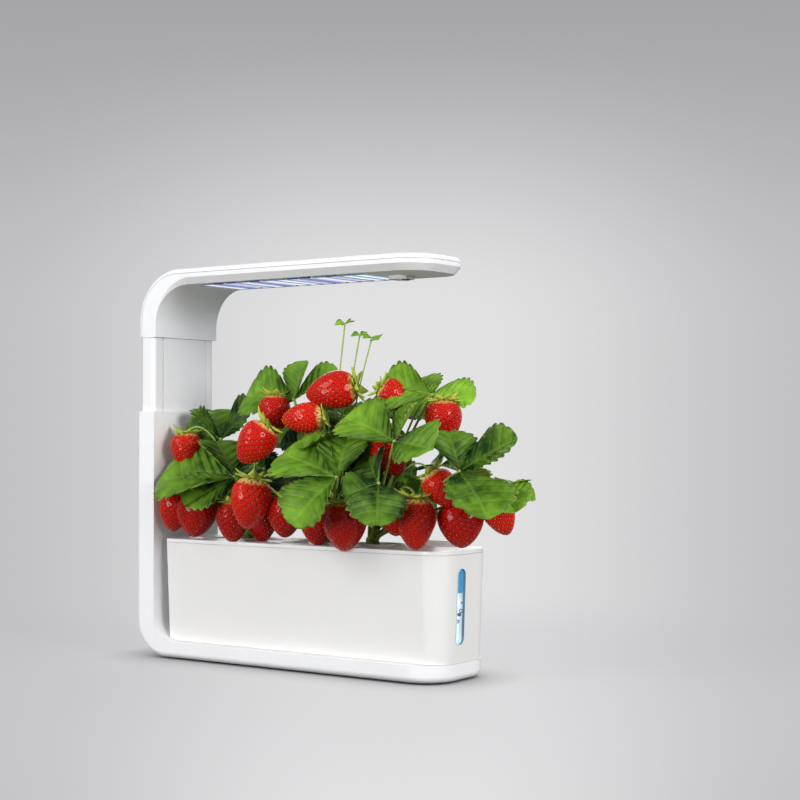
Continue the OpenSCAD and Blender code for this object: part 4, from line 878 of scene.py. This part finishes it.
# Seeds on a berry, seeds that the spiral leaves out under the calyx, the spiral's turn in degrees from one
# seed to the next, the radius of the berry's map at its calyx, how much larger than its row it is, and the
# depth and width of a dimple in millimetres
berry = {
    "seeds": 190,
    "leftOut": 6,
    "turn": 137.5,
    "centre": 0.05,
    "plump": 1.06,
    "dimple": 0.45,
    "dimpleWidth": 1.6,
}


def berryFlesh():
    # Ripe strawberry: a thin clear gloss over deep red flesh, straw-coloured close to the calyx
    surface = {"Roughness": 0.36, "IOR": 1.38, "Coat Weight": 0.35, "Coat Roughness": 0.07,
               "Specular IOR Level": 0.08}
    material, tree, shader = newMaterial("ripeBerryFlesh", surface)
    place = addNode(tree, "TexCoord")
    ripe = addNode(tree, "Attribute", {"attribute_name": "tone"}).outputs["Fac"]
    # the map is polar: its angle is the angle round the berry, its radius the depth below the calyx
    split = addNode(tree, "SeparateXYZ", {}, {"Vector": place.outputs["UV"]})
    angle = addNode(tree, "Math", {"operation": "ARCTAN2"}, {0: split.outputs["Y"], 1: split.outputs["X"]})
    reach = addNode(tree, "VectorMath", {"operation": "LENGTH"}, {0: place.outputs["UV"]})
    depth = addNode(tree, "Math", {"operation": "SUBTRACT", 1: berry["centre"]}, {0: reach})
    places = berry["seeds"] + berry["leftOut"] + 1
    rank = addNode(tree, "Math", {"operation": "MULTIPLY_ADD", 1: places, 2: -berry["leftOut"]}, {0: depth})
    # the seeds' spiral is where these families of 8, 13, 21 and 34 turning waves all crest
    dimple = None
    for family, share in ((8, 0.15), (13, 0.35), (21, 0.35), (34, 0.15)):
        rest = math.radians((family * berry["turn"] + 180) % 360 - 180)
        rise = addNode(tree, "Math", {"operation": "MULTIPLY", 1: rest}, {0: rank})
        phase = addNode(tree, "Math", {"operation": "MULTIPLY", 1: family}, {0: angle})
        gap = addNode(tree, "Math", {"operation": "SUBTRACT"}, {0: phase, 1: rise})
        wave = addNode(tree, "Math", {"operation": "COSINE"}, {0: gap})
        part = addNode(tree, "Math", {"operation": "MULTIPLY", 1: share}, {0: wave})
        if dimple is not None:
            part = addNode(tree, "Math", {"operation": "ADD"}, {0: part, 1: dimple})
        dimple = part
    sunk = addNode(tree, "MapRange", {"interpolation_type": "SMOOTHSTEP", "From Min": -0.15,
                                      "From Max": 0.95, "To Min": 1.0, "To Max": 0.0}, {"Value": dimple})
    bump = addNode(tree, "Bump", {"Strength": 1.0, "Distance": 1.1 * mm}, {"Height": sunk})
    cloud = addNode(tree, "TexNoise", {"Scale": 1 / (16 * mm), "Detail": 2.0},
                    {"Vector": place.outputs["Object"]})
    shift = addNode(tree, "Math", {"operation": "MULTIPLY_ADD", 1: 0.5, 2: -0.25}, {0: cloud})
    amount = addNode(tree, "Math", {"operation": "ADD", "use_clamp": True}, {0: shift, 1: ripe})
    flesh = addNode(tree, "Mix", {"data_type": "RGBA", 6: linear("#ec2209"), 7: linear("#a00106")},
                    {0: amount})
    # the shoulder is paler the less ripe the berry is
    shoulder = addNode(tree, "MapRange", {"From Min": 0.02, "From Max": 0.2, "To Min": 1.15, "To Max": 0.0},
                       {"Value": depth})
    unripe = addNode(tree, "Math", {"operation": "SUBTRACT"}, {0: shoulder, 1: ripe})
    pale = addNode(tree, "Math", {"operation": "MULTIPLY", "use_clamp": True, 1: 1.6}, {0: unripe})
    full = addNode(tree, "Mix", {"data_type": "RGBA", 7: linear("#f0d684")}, {0: pale, 6: flesh})
    # painted shade: the flesh in the dimples is darkened to a deeper red than the ridges between them
    dimpleShade = addNode(tree, "MapRange", {"To Min": 0.55, "To Max": 0.0}, {"Value": sunk})
    both = addNode(tree, "Mix", {"data_type": "RGBA", 7: linear("#7c0105")}, {0: dimpleShade, 6: full})
    feed(shader, {"Base Color": both, "Normal": bump})
    return material


ripeFlesh = berryFlesh()
# Seeds are straw-coloured, hard and a little shiny
acheneSkin = plantStem("strawAchene", "#c9782c", "#f4cc70", 0.25)
berrySlots = {"flesh": 0, "seed": 1}


def berrySkins(centre, azimuth, lean, length, width, ripe, chance):
    # Berry of depth d from 0 at the calyx to 1 at the tip: radius = half width x sin(pi d^0.66)^0.52,
    # slightly lobed round its axis, with a dimple under each seed of the spiral
    length *= berry["plump"]
    width *= berry["plump"]
    rows = 62
    count = 84
    phi = np.linspace(0.03, math.pi - 0.05, rows)[:, None]
    theta = np.linspace(0, 2 * math.pi, count + 1)[:-1][None, :]
    lobes = chance.uniform(0, 6, 3)

    def surface(d, a):
        lobe = 1 + 0.035 * np.sin(2 * a + lobes[0]) + 0.022 * np.sin(3 * a + lobes[1] + 2 * d)
        r = width / 2 * np.sin(math.pi * np.clip(d, 1e-4, 0.9999) ** 0.66) ** 0.52 * (0.955 * lobe)
        return np.stack([r * np.cos(a), r * np.sin(a), -length * d * np.ones_like(a)], -1)

    depth = (1 - np.cos(phi)) / 2
    flat = surface(depth, theta + 0 * phi).reshape(-1, 3)
    k = np.arange(berry["seeds"])
    seedDepth = (k + berry["leftOut"]) / (berry["seeds"] + berry["leftOut"] + 1)
    at = surface(seedDepth, k * math.radians(berry["turn"]))
    out = at - np.array([0.0, 0.0, -0.42 * length])
    out /= np.linalg.norm(out, axis=1, keepdims=True)
    near = ((flat[:, None] - at[None]) ** 2).sum(-1)
    dip = berry["dimple"] * np.exp(-near.min(1) / berry["dimpleWidth"] ** 2)
    flat = flat - dip[:, None] * out[near.argmin(1)]
    turn = turnAbout(0, -lean, azimuth)
    rings = flat.reshape(rows, count, 3) @ turn.T + np.array(centre)
    reach = depth + berry["centre"]
    uv = np.stack([reach * np.cos(theta), reach * np.sin(theta)], -1)
    parts = [skin(rings * mm, uv=uv, tone=ripe, material=berrySlots["flesh"])]
    # seeds: little pointed drops, long side down the berry, set in their dimples
    down = np.array([0.0, 0.0, -1.0]) - out * (-out[:, 2:3])
    down /= np.linalg.norm(down, axis=1, keepdims=True)
    wideways = np.cross(out, down)
    hexagon = np.linspace(0, 2 * math.pi, 7)[:-1]
    taper = [0.35, 1.0, 0.55]
    drop = np.stack([np.outer(taper, 0.56 * np.cos(hexagon)), np.outer(taper, 0.34 * np.sin(hexagon)),
                     np.repeat(np.array([[-0.45], [0.0], [0.32]]), 6, 1)], -1)
    base = at - 0.35 * out
    for i in np.flatnonzero(seedDepth >= 0.03):
        seed = base[i] + drop[..., :1] * down[i] + drop[..., 1:2] * wideways[i] + drop[..., 2:] * out[i]
        rings = seed @ turn.T + np.array(centre)
        parts.append(skin(rings * mm, tone=0.6, material=berrySlots["seed"]))
    return parts


def growBerries(p):
    chance = np.random.default_rng(plant["seed"] + 40 + p)
    parts = []
    for owner, *row in berries:
        if owner == p:
            parts += berrySkins(*row, chance)
    name = "berries_%d" % (p + 1)
    addPiece(name + "_ripe", parts, [ripeFlesh, acheneSkin], name)


for number in range(3):
    growPlant(number)
    growBerries(number)
    report("plant %d has grown" % (number + 1))

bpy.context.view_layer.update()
report("done")
